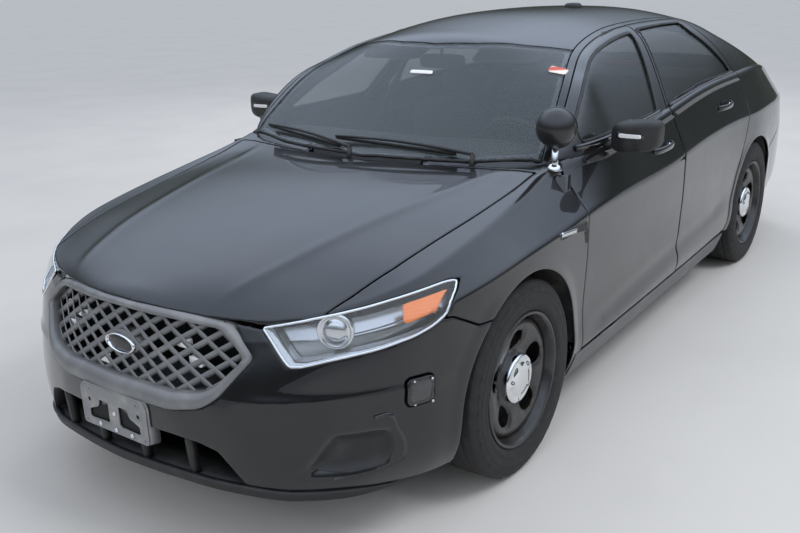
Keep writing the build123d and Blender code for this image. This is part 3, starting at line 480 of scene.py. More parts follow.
# A body panel: the net cut to its outline, its edge rolled in along a quarter circle, and given thickness
def panel(name, source, field, material, slotName, body="car_body", thickness=5.0, roll=3.5, inner="under",
        push=0.0):
    verts, tris = source
    value = field(verts)
    tris = tris[(value[tris] < 60).any(1)]
    used, inverse = np.unique(tris, return_inverse=True)
    verts, tris, value = verts[used], inverse.reshape(-1, 3), value[used]
    verts, tris, value = cutMesh(verts, tris, value)
    for level in (-roll, -0.45 * roll):
        verts, tris, value = cutMesh(verts, tris, value, level, both=True)
    inset = np.clip(roll + value, 0, roll)
    drop = roll - np.sqrt(np.maximum(roll ** 2 - inset ** 2, 0))
    verts = verts + normalsOf(verts, tris) * (push - 0.8 * drop)[:, None]
    thing = put(name, (verts, tris), [material, inner], slotName, body)
    thicken(thing, thickness).material_offset = 1
    return thing


# The body that carries a side's piece: the car's own body has no sides, doors and wheels have
def bodyOf(body, side):
    return body if body == "car_body" else f"{body}_{side}"


# A panel on the left, and on the right the left one mirrored, so that both are cut alike
def panelPair(name, source, field, material, slotName, body="car_body", **options):
    for side, sign in (("left", 1), ("right", -1)):
        thing = panel(f"{name}_{side}", source, field, material, slotName, bodyOf(body, side), **options)
        if sign > 0:
            continue
        place = np.empty(len(thing.data.vertices) * 3, np.float32)
        thing.data.vertices.foreach_get("co", place)
        place = place.reshape(-1, 3) * np.array([1, -1, 1], np.float32)
        thing.data.vertices.foreach_set("co", place.ravel())
        thing.data.flip_normals()
        thing.data.update()


# The field of the same outline on the other side of the car
def mirrorField(field):
    # The field at the mirrored place
    def mirrored(verts):
        return field(verts * np.array([1, -1, 1]))
    return mirrored


# Keeps what all fields keep: the greatest of their distances
def both(*fields):
    return lambda verts: np.maximum.reduce([f(verts) for f in fields])


# A tube along a path; its ring is turned to follow the path and its ends are closed
def tube(path, radius, sides=12, closedPath=False, ring=None):
    path = np.asarray(path, float)
    ahead = np.roll(path, -1, axis=0) - np.roll(path, 1, axis=0)
    if not closedPath:
        ahead[0], ahead[-1] = path[1] - path[0], path[-1] - path[-2]
    ahead /= np.linalg.norm(ahead, axis=1)[:, None]
    guide = np.where(np.abs(ahead[:, 2:3]) > 0.9, [[1.0, 0, 0]], [[0, 0, 1.0]])
    u = np.cross(ahead, guide)
    u /= np.linalg.norm(u, axis=1)[:, None]
    v = np.cross(u, ahead)
    radius = np.broadcast_to(np.asarray(radius, float), (len(path),))
    if ring is None:
        angle = np.arange(sides) * 2 * np.pi / sides
        ring = np.stack([np.cos(angle), np.sin(angle)], 1)
    ring = np.asarray(ring, float)
    spokes = ring[None, :, :1] * u[:, None] + ring[None, :, 1:] * v[:, None]
    grid = path[:, None] + radius[:, None, None] * spokes
    if not closedPath:
        ends = [np.repeat(path[k:k + 1, None], len(ring), 1) for k in (0, len(path) - 1)]
        grid = np.concatenate([ends[0], grid, ends[1]])
    grid = np.concatenate([grid, grid[:, :1]], axis=1)
    return weld(*gridMesh(grid, closed=closedPath))


# An oval ring for a tube
def oval(width, height, sides):
    a = np.linspace(0, 2 * np.pi, sides + 1)[:-1]
    return np.stack([np.cos(a) * width, np.sin(a) * height], 1)


# Joins points that share a place and drops triangles with no area
def weld(verts, tris):
    unique, inverse = np.unique(np.round(verts, 3), axis=0, return_inverse=True)
    tris = inverse.ravel()[tris]
    good = (tris[:, 0] != tris[:, 1]) & (tris[:, 1] != tris[:, 2]) & (tris[:, 0] != tris[:, 2])
    return unique, tris[good]


# Turns a closed profile of (distance along the axis, radius) about an axis
def lathe(profile, centre, axis=(0, 1, 0), segments=64):
    profile = np.asarray(profile, float)
    axis = np.asarray(axis, float) / np.linalg.norm(axis)
    guide = np.array([0, 0, 1.0]) if abs(axis[2]) < 0.9 else np.array([1.0, 0, 0])
    u = np.cross(axis, guide)
    u /= np.linalg.norm(u)
    v = np.cross(axis, u)
    angle = np.linspace(0, 2 * np.pi, segments + 1)
    spoke = np.cos(angle)[:, None] * u + np.sin(angle)[:, None] * v
    grid = np.asarray(centre, float) + profile[None, :, :1] * axis + profile[None, :, 1:] * spoke[:, None]
    return outward(*weld(*gridMesh(grid)))


# Turns a closed shape the right way out, by the sign of its volume
def outward(verts, tris):
    a, b, c = verts[tris[:, 0]], verts[tris[:, 1]], verts[tris[:, 2]]
    return (verts, tris) if np.einsum("ij,ij->", a, np.cross(b, c)) > 0 else (verts, tris[:, ::-1])


# Stacked outlines of one length, joined round and from the last to the first
def band(rings):
    grid = np.stack([*rings, rings[0]])
    return outward(*weld(*gridMesh(np.concatenate([grid, grid[:, :1]], 1))))


# A bar between lines of one length, each end gathered to its middle
def bar(lines):
    grid = np.stack([*lines, lines[0]], 1)
    ends = [grid[k:k + 1].mean(1, keepdims=True).repeat(grid.shape[1], 1) for k in (0, len(grid) - 1)]
    return outward(*weld(*gridMesh(np.concatenate([ends[0], grid, ends[1]]))))


# Several meshes as one
def merge(*meshes):
    verts, tris, start = [], [], 0
    for meshVerts, meshTris in meshes:
        verts.append(meshVerts)
        tris.append(meshTris + start)
        start += len(meshVerts)
    return np.concatenate(verts), np.concatenate(tris)


# A rounded box: a fine cube pushed on to a superellipsoid of the given power, tilted about the car's width
def pillow(centre, size, power=6.0, steps=14, tilt=0.0):
    t = np.linspace(-1, 1, steps)
    sides = []
    for side in (-1, 1):
        for which in range(3):
            block = list(np.meshgrid(t, t, indexing="ij"))
            block.insert(which, np.full_like(block[0], side))
            verts, tris = gridMesh(np.stack(block, -1))
            sides.append((verts, tris if (side > 0) != (which == 1) else tris[:, ::-1]))
    verts, faces = merge(*sides)
    length = (np.abs(verts) ** power).sum(1) ** (1 / power)
    x, y, z = (verts / length[:, None] * np.asarray(size, float) / 2).T
    c, s = math.cos(math.radians(tilt)), math.sin(math.radians(tilt))
    verts = np.stack([c * x + s * z, y, c * z - s * x], 1)
    return outward(*weld(verts + np.asarray(centre, float), faces))


# A closed outline pushed along one axis with a rounded edge on its outer face
def plate(outline, axis, start, end, round=1.5):
    outline = np.asarray(outline, float)
    step = np.sign(end - start) * round
    rings = [(0, start), (0, end - step), (-0.3 * round, end - 0.3 * step), (-round, end)]
    grid = np.stack([np.insert(grow(outline, inset), axis, level, axis=1) for inset, level in rings])
    grid = np.concatenate([grid, grid[:, :1]], axis=1)
    verts, tris = gridMesh(grid)
    cap = earCut(outline)
    tris = np.concatenate([tris, cap, cap[:, ::-1] + 3 * grid.shape[1]])
    return outward(*weld(verts, tris))


# Cuts a simple outline into triangles, ear by ear
def earCut(outline):
    points = [tuple(p) for p in outline]
    index = list(range(len(points)))
    area = sum(points[i - 1][0] * points[i][1] - points[i][0] * points[i - 1][1] for i in index)
    if area < 0:
        index.reverse()
    triangles = []

    # Twice the signed area of a triangle
    def cross(o, a, b):
        return (a[0] - o[0]) * (b[1] - o[1]) - (a[1] - o[1]) * (b[0] - o[0])

    for _ in range(5000):
        if len(index) <= 3:
            break
        for k in range(len(index)):
            i, j, m = index[k - 1], index[k], index[(k + 1) % len(index)]
            a, b, c = points[i], points[j], points[m]
            if cross(a, b, c) <= 0:
                continue
            others = [points[n] for n in index if n not in (i, j, m)]
            if any(cross(a, b, p) >= 0 and cross(b, c, p) >= 0 and cross(c, a, p) >= 0 for p in others):
                continue
            triangles.append((i, j, m))
            index.pop(k)
            break
    triangles.append(tuple(index))
    tris = np.array(triangles)
    return tris if area > 0 else tris[:, ::-1]


# The same mesh on the other side of the car, its faces turned to match
def mirrored(mesh):
    return mesh[0] * np.array([1, -1, 1]), mesh[1][:, ::-1]


# Makes a piece for each side of the car; the second is the first mirrored
def pair(name, mesh, material, slotName, body="car_body"):
    for side, shape in (("left", mesh), ("right", mirrored(mesh))):
        put(f"{name}_{side}", shape, material, slotName, bodyOf(body, side))


# Even points on a cubic curve through the given points, with slopes from their neighbours
def smoothLine(points, count, closed=False):
    points = np.asarray(points, float)
    if closed:
        points = np.concatenate([points, points[:1]])
    steps = np.concatenate([[0], np.cumsum(np.linalg.norm(np.diff(points, axis=0), axis=1))])
    slope = np.gradient(points, steps, axis=0)
    if closed:
        slope[0] = slope[-1] = (points[1] - points[-2]) / (steps[1] + steps[-1] - steps[-2])
    t = np.linspace(0, steps[-1], count)
    i = np.clip(np.searchsorted(steps, t, side="right") - 1, 0, len(points) - 2)
    h = (steps[i + 1] - steps[i])[:, None]
    s = ((t - steps[i])[:, None]) / h
    return ((2 * s ** 3 - 3 * s ** 2 + 1) * points[i] + (s ** 3 - 2 * s ** 2 + s) * h * slope[i]
        + (3 * s ** 2 - 2 * s ** 3) * points[i + 1] + (s ** 3 - s ** 2) * h * slope[i + 1])


# Adds points along a closed outline so that none are farther apart than the step
def densify(outline, step):
    outline = np.asarray(outline, float)
    result = []
    for a, b in zip(outline, np.roll(outline, -1, axis=0)):
        count = max(int(np.linalg.norm(b - a) / step), 1)
        result.append(a + (b - a) * (np.arange(count) / count)[:, None])
    return np.concatenate(result)


# Rounds the corners of an outline with short arcs
def smoothCorners(outline, radius, steps):
    outline = np.asarray(outline, float)
    result = []
    for k in range(len(outline)):
        here, before, after = outline[k], outline[k - 1], outline[(k + 1) % len(outline)]
        a = before - here
        b = after - here
        reach = min(radius, 0.48 * np.linalg.norm(a), 0.48 * np.linalg.norm(b))
        p, q = here + a / np.linalg.norm(a) * reach, here + b / np.linalg.norm(b) * reach
        t = np.linspace(0, 1, steps)[:, None]
        result.append((1 - t) ** 2 * p + 2 * t * (1 - t) * here + t ** 2 * q)
    return np.concatenate(result)


# The body's shape in millimetres, as the part's source has it: x of a section, then (y, z) from its foot up

bodySections = [
    (2568, (150, 385), (185, 400), (205, 430), (200, 470), (190, 495), (170, 510), (90, 515), (0, 515)),
    (2550, (260, 290), (300, 330), (320, 430), (290, 515), (225, 563), (175, 588), (95, 603), (0, 608)),
    (2520, (370, 225), (410, 280), (430, 430), (372, 555), (272, 664), (205, 712), (112, 742), (0, 753)),
    (2480, (450, 195), (500, 270), (520, 430), (455, 588), (335, 702), (255, 760), (135, 804), (0, 822)),
    (2430, (530, 182), (585, 265), (605, 430), (560, 606), (448, 718), (362, 776), (230, 818), (0, 840)),
    (2340, (630, 174), (690, 260), (712, 430), (690, 640), (642, 735), (575, 793), (345, 848), (0, 866)),
    (2220, (730, 172), (790, 260), (812, 430), (800, 650), (770, 750), (700, 820), (400, 878), (0, 896)),
    (2080, (810, 172), (865, 260), (886, 430), (880, 660), (860, 770), (780, 846), (440, 908), (0, 926)),
    (1947, (860, 175), (908, 265), (926, 430), (925, 670), (912, 790), (815, 870), (450, 932), (0, 950)),
    (1750, (890, 180), (935, 275), (950, 430), (957, 690), (945, 815), (825, 905), (450, 962), (0, 980)),
    (1552, (895, 180), (940, 285), (955, 430), (966, 700), (953, 832), (825, 938), (450, 985), (0, 1000)),
    (1300, (890, 175), (938, 300), (946, 430), (957, 700), (951, 840), (808, 985), (440, 1005), (0, 1012)),
    (1060, (885, 170), (940, 290), (932, 400), (948, 650), (949, 855), (800, 1030), (440, 1036), (0, 1040)),
    (800, (885, 170), (942, 290), (930, 400), (946, 650), (949, 860), (878, 1062), (440, 1062), (0, 1062)),
    (239, (885, 172), (942, 300), (932, 410), (947, 650), (950, 862), (873, 1081), (440, 1081), (0, 1081)),
    (-187, (885, 175), (942, 310), (936, 430), (948, 660), (946, 895), (860, 1112), (440, 1112), (0, 1112)),
    (-637, (885, 180), (940, 320), (937, 440), (948, 670), (940, 912), (846, 1138), (440, 1138), (0, 1138)),
    (-1050, (888, 185), (940, 320), (945, 450), (954, 690), (941, 912), (843, 1141), (440, 1141), (0, 1141)),
    (-1315, (890, 190), (938, 320), (952, 450), (966, 700), (948, 908), (838, 1142), (440, 1142), (0, 1142)),
    (-1600, (880, 215), (928, 325), (942, 450), (953, 700), (938, 905), (824, 1138), (430, 1138), (0, 1138)),
    (-1950, (850, 235), (898, 335), (915, 450), (922, 700), (908, 898), (785, 1108), (400, 1130), (0, 1136)),
    (-2200, (800, 250), (850, 345), (872, 460), (876, 700), (860, 888), (745, 1062), (400, 1112), (0, 1122)),
    (-2380, (720, 268), (775, 355), (800, 470), (802, 700), (778, 876), (690, 1036), (370, 1100), (0, 1112)),
    (-2480, (600, 278), (665, 362), (700, 480), (698, 700), (662, 866), (600, 1018), (340, 1088), (0, 1102)),
    (-2540, (440, 284), (505, 370), (545, 486), (542, 640), (505, 740), (440, 778), (250, 796), (0, 802)),
    (-2577, (250, 290), (290, 374), (325, 484), (330, 580), (310, 630), (280, 652), (150, 662), (0, 666)),
]
greenhouseSections = [
    (1250, (300, 985), (290, 990), (270, 998), (240, 1004), (120, 1014), (0, 1016)),
    (1180, (560, 985), (545, 1000), (520, 1012), (470, 1024), (240, 1056), (0, 1064)),
    (1060, (800, 985), (790, 1030), (770, 1048), (735, 1064), (400, 1128), (0, 1148)),
    (800, (878, 1040), (835, 1140), (785, 1235), (735, 1262), (400, 1314), (0, 1332)),
    (620, (878, 1045), (800, 1192), (742, 1300), (690, 1328), (360, 1422), (0, 1450)),
    (459, (877, 1050), (772, 1240), (682, 1370), (620, 1394), (340, 1462), (0, 1482)),
    (117, (876, 1055), (757, 1262), (643, 1413), (575, 1450), (320, 1512), (0, 1528)),
    (-244, (870, 1060), (746, 1278), (626, 1430), (558, 1466), (310, 1526), (0, 1542)),
    (-688, (862, 1060), (740, 1292), (626, 1432), (562, 1464), (310, 1522), (0, 1536)),
    (-1001, (862, 1060), (765, 1278), (655, 1404), (580, 1444), (315, 1496), (0, 1508)),
    (-1300, (860, 1060), (770, 1246), (690, 1324), (622, 1362), (330, 1414), (0, 1427)),
    (-1600, (850, 1060), (778, 1190), (722, 1232), (662, 1262), (360, 1304), (0, 1316)),
    (-1850, (800, 1060), (766, 1136), (742, 1150), (684, 1168), (380, 1188), (0, 1194)),
    (-1960, (778, 1060), (764, 1106), (745, 1116), (690, 1126), (390, 1138), (0, 1142)),
]
frontDoor = [
    (1060, 296), (1060, 700), (1060, 900), (1052, 1010),
    (1030, 1050), (925, 1196), (770, 1278), (560, 1358),
    (355, 1412), (120, 1444), (-120, 1456),
    (-170, 1404), (-25, 1100), (-40, 980), (-45, 872), (-45, 700),
    (-45, 296),
]
rearDoor = [
    (-51, 296), (-51, 700), (-51, 872), (-46, 980), (-31, 1100),
    (-176, 1404), (-126, 1456), (-300, 1462), (-700, 1458),
    (-850, 1428), (-950, 1374), (-1040, 1310),
    (-1125, 1240), (-1185, 1150), (-1185, 1000),
    (-1150, 900), (-1070, 771), (-950, 610),
    (-882, 450), (-866, 296),
]
centreEdge = [
    (1075, 752), (800, 690), (459, 586), (117, 540), (-244, 524), (-688, 528), (-1001, 545),
    (-1300, 590), (-1600, 628), (-1885, 660), (-2200, 668), (-2360, 640), (-2600, 560),
]
windshieldBase = [(1240, 0), (1222, 200), (1168, 480), (1075, 752)]
windshieldTop = [(650, 0), (628, 200), (560, 420), (459, 586)]
backlightTop = [(-1085, 0), (-1065, 250), (-1020, 548)]
backlightBase = [(-1905, 0), (-1900, 350), (-1885, 660)]
hoodSide = [(1150, 768), (1600, 745), (2000, 712), (2170, 686), (2300, 655)]
hoodFront = [(2300, 655), (2382, 512), (2438, 335), (2476, 240), (2506, 130), (2514, 0)]
hoodRear = [(1262, 0), (1246, 200), (1196, 480), (1150, 700), (1150, 768)]
tailLampFace = [(560, 985), (640, 992), (820, 1000), (905, 960), (905, 850), (640, 828), (560, 832)]


seam = 2.2
xz, xy, yz = [0, 2], [0, 1], [1, 2]
axlePlaces, axleHeight, archRadius = (1552, -1315), 365, 397


# Sections as a full-width net: each half row is mirrored, with extra rows beside each crease
def netFrom(sections, creases, reach=0.16):
    rows = []
    for section in sections:
        half = np.array(section[1:], float)
        row = [half[0]]
        for k in range(1, len(half)):
            if k - 1 in creases:
                row.append(half[k - 1] + reach * (half[k] - half[k - 1]))
            if k in creases:
                row.append(half[k] - reach * (half[k] - half[k - 1]))
            row.append(half[k])
        row = np.array(row)
        full = np.concatenate([row, (row * [-1, 1])[-2::-1]])
        rows.append(np.insert(full, 0, section[0], axis=1))
    return np.array(rows)


# Nought to one between two values, level at both ends
def smoothStep(value, low, high):
    t = np.clip((value - low) / (high - low), 0, 1)
    return t * t * (3 - 2 * t)


# Added form in the smooth body: arch flares, the hood's creases, the flank's hollow
def shapeBody(grid):
    settings = dict(flare=7.0, flareWidth=62.0, hoodDrop=7.0, hollow=9.0, axles=axlePlaces)
    verts = grid.reshape(-1, 3).copy()
    x, y, z = verts.T
    for axle in settings["axles"]:
        distance = np.hypot(x - axle, z - axleHeight)
        near = 1 - smoothStep(distance, 398, 398 + settings["flareWidth"])
        side = smoothStep(np.abs(y), 780, 880)
        verts[:, 1] += np.sign(y) * settings["flare"] * near * side * smoothStep(-z, -800, -640)
    crease = np.interp(x, [1100, 1250, 1700, 2150, 2400, 2480], [640, 600, 508, 420, 345, 330])
    past = np.maximum(np.abs(y) - crease, 0)
    ridge = np.exp(-((np.abs(y) - crease) / 26) ** 2)
    onHood = smoothStep(x, 1160, 1300) * smoothStep(-x, -2470, -2330) * smoothStep(z, 780, 840)
    drop = settings["hoodDrop"] * (1 - np.exp(-past / 55)) * smoothStep(-np.abs(y), -860, -700)
    verts[:, 2] += onHood * (2.2 * ridge - drop)
    front = smoothStep(x, 1980, 2120)
    corner = smoothStep(np.abs(y), 430, 560)
    lip = np.exp(-((z - 553) / 16) ** 2) * front * corner
    verts[:, 1] += np.sign(y) * 5.0 * lip
    verts[:, 0] += 3.0 * lip
    pocket = outlineField([(615, 300), (630, 330), (700, 455), (795, 452), (842, 440), (850, 378),
        (838, 312), (800, 288), (735, 285)], yz)
    depth = smoothStep(-pocket(np.abs(verts)), 2, 52) * (x > 1980)
    verts[:, 0] -= 40 * depth
    verts[:, 1] -= np.sign(y) * 16 * depth
    plateNiche = outlineField(smoothCorners([(-268, 842), (268, 842), (250, 992), (-250, 992)], 30, 6), yz)
    verts[:, 0] += 22 * smoothStep(-plateNiche(verts), 0, 16) * (x < -2300)
    lineZ = np.interp(x, [-731, 860], [443, 331])
    along = smoothStep(x, -860, -600) * smoothStep(-x, -1090, -850)
    along = along * (np.abs(y) > 700)
    verts[:, 1] -= np.sign(y) * settings["hollow"] * np.exp(-((z - lineZ - 30) / 44) ** 2) * along
    return verts.reshape(grid.shape)


bodyNet = netFrom(bodySections, creases=(4, 5))
bodyNet = np.concatenate([np.tile([2577.0, 0, 470], (1, bodyNet.shape[1], 1)), bodyNet,
                          bodyNet[-1:] * [0, 0, 1] + [-2580.0, 0, 0]])
bodyGrid = shapeBody(evaluateNet(bodyNet, (430, 261)))
greenGrid = evaluateNet(netFrom(greenhouseSections, creases=(3,)), (250, 181))
bodySource = outward(*gridMesh(bodyGrid))
greenSource = outward(*gridMesh(greenGrid))
print("body surface", len(bodySource[1]), "greenhouse", len(greenSource[1]))


# Finds the body's skin beyond a place, along a direction, by the nearest crossing of its vertices
def skinAt(points, source, axis, sign=1):
    verts = source[0]
    others = [k for k in range(3) if k != axis]
    points = np.asarray(points, float)
    found = []
    for p in points:
        gap = ((verts[:, others] - p[others]) ** 2).sum(1)
        gap[np.sign(verts[:, axis] - p[axis]) != sign] = 1e12
        near = np.argpartition(gap, 6)[:6]
        weight = 1 / (gap[near] + 1.0)
        found.append((verts[near, axis] * weight).sum() / weight.sum())
    result = points.copy()
    result[:, axis] = found
    return result


# An outline seen from above: the left half, and the same again to the right
def half(points):
    return list(points) + [(x, -y) for x, y in reversed(points) if y > 0]


# An outline across the car: the left half from its top to its foot, and the same again to the right
def acrossCar(points):
    return list(points) + [(-y, z) for y, z in reversed(points) if y > 0]


centreLine = smoothLine(centreEdge, 160)


# The outline of a roof part from above: its front line, the window line beside it and its rear line
def planOutline(front, rear):
    startX, endX = front[-1][0], rear[-1][0]
    side = [(x, y) for x, y in centreLine if endX + 5 < x < startX - 5]
    return half(front + side + rear[::-1])


hoodOutline = half(hoodRear + hoodSide[1:] + hoodFront[1:])
hoodField = outlineField(hoodOutline, xy)
deckField = outlineField(half(backlightBase + [p for p in centreEdge if p[0] < -1900] + [(-2600, 0)]), xy)
windshieldField = outlineField(planOutline(windshieldBase, windshieldTop), xy)
roofField = outlineField(planOutline(windshieldTop, backlightTop), xy)
backlightField = outlineField(planOutline(backlightTop, backlightBase), xy)
centreField = outlineField(planOutline(windshieldBase, backlightBase), xy)
frontDoorField = outlineField(frontDoor, xz)
rearDoorField = outlineField(rearDoor, xz)
headlampOutline = [(509, 765), (650, 794), (738, 809), (806, 824), (862, 837), (880, 833), (893, 813),
    (905, 786), (902, 755), (886, 732), (860, 714), (807, 697), (703, 678), (640, 662), (606, 661),
    (590, 674)]
headlampField = outlineField(headlampOutline, yz)
grilleOutline = acrossCar([(0, 797), (130, 794), (280, 782), (403, 766), (432, 748), (500, 678), (412, 558),
    (365, 525), (265, 507), (0, 502)])
grilleMouth = acrossCar([(0, 778), (130, 775), (272, 764), (384, 750), (412, 733), (474, 677), (398, 590),
    (355, 568), (262, 557), (0, 556)])
grilleField = outlineField(grilleOutline, yz)
intakeTop = [(0, 418), (270, 418), (350, 408), (412, 386), (446, 340), (470, 300)]
chinLine = [(0, 288), (300, 286), (420, 277), (487, 268), (600, 246), (700, 236), (800, 222), (870, 214)]
intakeField = outlineField(acrossCar(intakeTop + [(487, 262), (487, 60), (0, 60)]), yz)


# How far below the bumper's lower edge a place is
def belowChin(verts):
    return np.interp(np.abs(verts[:, 1]), *zip(*chinLine)) - verts[:, 2]


rearBumperField = outlineField([(-1650, 0), (-2700, 0), (-2700, 800), (-2250, 800), (-1900, 690),
    (-1650, 640)], xz)


# How far inside the doors' upper line a place is; the line runs beside the roof and the windshield pillar
def railField(width):
    # The line's distance from the middle plus the width, less the place's own
    def field(verts):
        line = np.interp(-verts[:, 0], -centreLine[:, 0], centreLine[:, 1])
        return (line + width) - np.abs(verts[:, 1])
    return field


upperFront = [(1048, 900), (1048, 1600), (-190, 1600), (-170, 1404), (-25, 1100), (-40, 980), (-45, 900)]
upperRear = [(-46, 900), (-46, 980), (-31, 1100), (-176, 1404), (-196, 1600), (-740, 1600), (-860, 1470),
    (-950, 1380), (-1040, 1310), (-1125, 1236), (-1185, 1150), (-1188, 900)]
upperFrontField = outlineField(upperFront, xz)
upperRearField = outlineField(upperRear, xz)
paneFront = [(905, 1092), (905, 1400), (-110, 1600), (-108, 1412), (95, 1100)]
paneRear = [(-60, 1112), (-204, 1412), (-260, 1600), (-700, 1600), (-823, 1400), (-916, 1342), (-1001, 1278),
    (-1085, 1212), (-1128, 1160), (-1120, 1150), (-637, 1148), (-187, 1124)]
paneFrontField = both(outlineField(smoothCorners(paneFront, 26, 6), xz), railField(86))
paneRearField = both(outlineField(smoothCorners(paneRear, 24, 6), xz), railField(80))
tailSideField = outlineField([(-2750, 1020), (-2330, 1004), (-2218, 962), (-2266, 838), (-2750, 812)], xz)
tailLampField = both(outlineField(tailLampFace, yz), tailSideField, lambda v: v[:, 0] + 2100)
noseTop = outlineField(half([(100, 1000), (735, 1000), (742, 905), (752, 897), (723, 833), (702, 746),
    (677, 650), (683, 602), (766, 528), (900, 528), (900, 0)]), [2, 1])


# The front bumper: its line on the flank and, from the front, its line on the nose
def bumperField(verts):
    back = outlineField([(1500, 0), (2700, 0), (2700, 1000), (2044, 1000), (1990, 752), (1905, 706),
        (1862, 682), (1500, 672)], xz)
    return np.maximum(back(verts), noseTop(verts))


# Cuts the wheel arches: a circle about each axle and all that is below it
def archField(verts):
    out = np.full(len(verts), 1e9)
    for axle in axlePlaces:
        out = np.minimum(out, np.hypot(verts[:, 0] - axle, verts[:, 2] - axleHeight) - archRadius)
        below = np.maximum(np.abs(verts[:, 0] - axle) - archRadius, verts[:, 2] - axleHeight)
        out = np.minimum(out, below)
    return -out


# The flank's top edge: the skin is kept a short way over the shoulder, where the windows stand
def ledgeField(verts):
    edge = [(s[0], s[6][0]) for s in bodySections if -1961 < s[0] < 1061][::-1]
    edgeY = np.interp(verts[:, 0], [p[0] for p in edge], [p[1] for p in edge])
    keep = (edgeY - 26) - np.abs(verts[:, 1])
    return np.where((verts[:, 0] < 1075) & (verts[:, 0] > -1975), keep, -500)


# Keeps what all fields keep, less half the seam between panels
def gapped(*fields):
    return lambda verts: np.maximum.reduce([f(verts) for f in fields]) + seam


# Keeps the places that pass a test
def within(test):
    return lambda verts: np.where(test(verts), -500.0, 500.0)


# A field where a test holds, and nothing elsewhere
def only(test, field):
    return lambda verts: np.where(test(verts), field(verts), 500)


# Keeps what the field cuts away
def outside(field):
    return lambda verts: -field(verts)


# The painted skin, doors, glass and bumpers, each cut from the smooth body by its fields
def makeBodyPanels():
    lidBand = within(lambda v: v[:, 2] > 640)
    panel("hoodPanel", bodySource, gapped(hoodField, lidBand, outside(grilleFrontField)), "paint",
        "black_paint", "hood", thickness=9, roll=5)
    deckBand = within(lambda v: (v[:, 2] > 796) & (v[:, 0] < -1880))
    deckLow = lambda v: 806 - v[:, 2]
    panel("trunkLid", bodySource, gapped(deckField, deckBand, deckLow), "paint", "black_paint", "trunk_lid",
        thickness=12, roll=4)
    fenderBand = within(lambda v: (v[:, 1] > 300) & (v[:, 0] > 1030) & (v[:, 2] > 170))
    ahead = lambda v: 1058 - v[:, 0]
    panelPair("frontFender", bodySource, gapped(fenderBand, ahead, outside(hoodField), outside(bumperField),
        archField, outside(headlampField), outside(centreField), lambda v: 176 - v[:, 2]), "paint",
        "black_paint", thickness=4.5, roll=4)
    doors = [("frontDoor", frontDoorField, both(upperFrontField, railField(36)), paneFrontField,
        "door_front"), ("rearDoor", rearDoorField, both(upperRearField, railField(34)), paneRearField,
        "door_rear")]
    for name, field, upperLine, window, door in doors:
        flank = within(lambda v: v[:, 1] > 500)
        panelPair(f"{name}Skin", bodySource, gapped(flank, field, ledgeField), "paint", "black_paint", door,
            thickness=62, roll=4, inner="dash")
        panelPair(f"{name}Frame", greenSource, gapped(flank, upperLine, outside(window), lambda v: 1040
            - v[:, 2]), "gloss", "black_paint", door, thickness=26, roll=3, inner="dash")
        panelPair(f"{name}Glass", greenSource, gapped(flank, lambda v, w=window: w(v) - 7), "sideGlass",
            "window_glass", door, thickness=4, roll=0.5, inner="sideGlass", push=-7)
    quarter = within(lambda v: (v[:, 1] > 500) & (v[:, 0] < 1040))
    panelPair("quarterPanel", bodySource, gapped(quarter, lambda v: v[:, 0] - 1050, outside(frontDoorField),
        outside(rearDoorField), ledgeField, outside(rearBumperField), archField, outside(tailLampField),
        outside(deckField), lambda v: 291 - v[:, 2]), "paint", "black_paint", thickness=5, roll=3)
    upper = within(lambda v: v[:, 1] > 300)
    panelPair("roofRail", greenSource, gapped(upper, outside(centreField),
        outside(both(upperFrontField, railField(36))), outside(both(upperRearField, railField(34)))),
        "paint", "black_paint", thickness=30, roll=3)
    panel("roofPanel", greenSource, lambda v: roofField(v) + 1.4, "paint", "black_paint", thickness=6,
        roll=2.5)
    panel("windshieldGlass", greenSource, lambda v: windshieldField(v) + 1.6, "glass", "window_glass",
        thickness=5, roll=1, inner="glass", push=-1.5)
    panel("rearGlass", greenSource, lambda v: backlightField(v) + 1.6, "sideGlass", "window_glass",
        thickness=5, roll=1, inner="sideGlass", push=-1.5)
    base = smoothLine([(x + 9, y) for x, y in backlightBase], 60)
    base = base[base[:, 1] < 430]
    base = base[np.argsort(base[:, 1])]
    base = np.concatenate([base[::-1] * [1, -1], base[base[:, 1] > 0.5]])
    topZ = skinAt([(x, y, 900) for x, y in base], greenSource, 2)[:, 2] - 7
    apronFoot = np.full(len(base), 1112.0)
    rows = [np.column_stack([base[:, 0] + shift, base[:, 1], z]) for shift, z in ((0, apronFoot), (0, topZ),
        (5, topZ), (5, apronFoot))]
    put("rearCowl", bar(rows), "plastic", "black_plastic", smooth=False)
    inside = lambda v: np.where((v[:, 1] > 500) & (v[:, 0] < -1690) & (v[:, 0] > -2470),
        np.maximum(560 - v[:, 2], v[:, 2] - 1010), 500)
    panelPair("trunkSideTrim", bodySource, gapped(inside), "cloth", "seat_cloth", thickness=5, roll=1,
        inner="cloth", push=-42)
    notLamp = outside(headlampField)
    mirroredLamp = outside(mirrorField(headlampField))
    lamps = [outside(cornerLampField), outside(mirrorField(cornerLampField))]
    panel("frontBumper", bodySource, gapped(bumperField, archField, lambda v: 1700 - v[:, 0], notLamp,
        mirroredLamp, outside(grilleField), outside(intakeField), outside(hoodField), belowChin, *lamps),
        "paint", "black_paint", thickness=5, roll=4)
    tails = [outside(tailLampField), outside(mirrorField(tailLampField))]
    panel("rearBumper", bodySource, gapped(rearBumperField, lambda v: v[:, 0] + 1640, *tails,
        lambda v: np.where(deckField(v) < 2, v[:, 2] - 803, -500)), "paint", "black_paint", thickness=5,
        roll=4)
    panelPair("sillMoulding", bodySource, gapped(quarterBelow), "sill", "sill_grey", thickness=40, roll=4,
        push=4)


# The grille's outline at the nose only
def grilleFrontField(verts):
    return np.where(verts[:, 0] > 2380, grilleField(verts), 500)


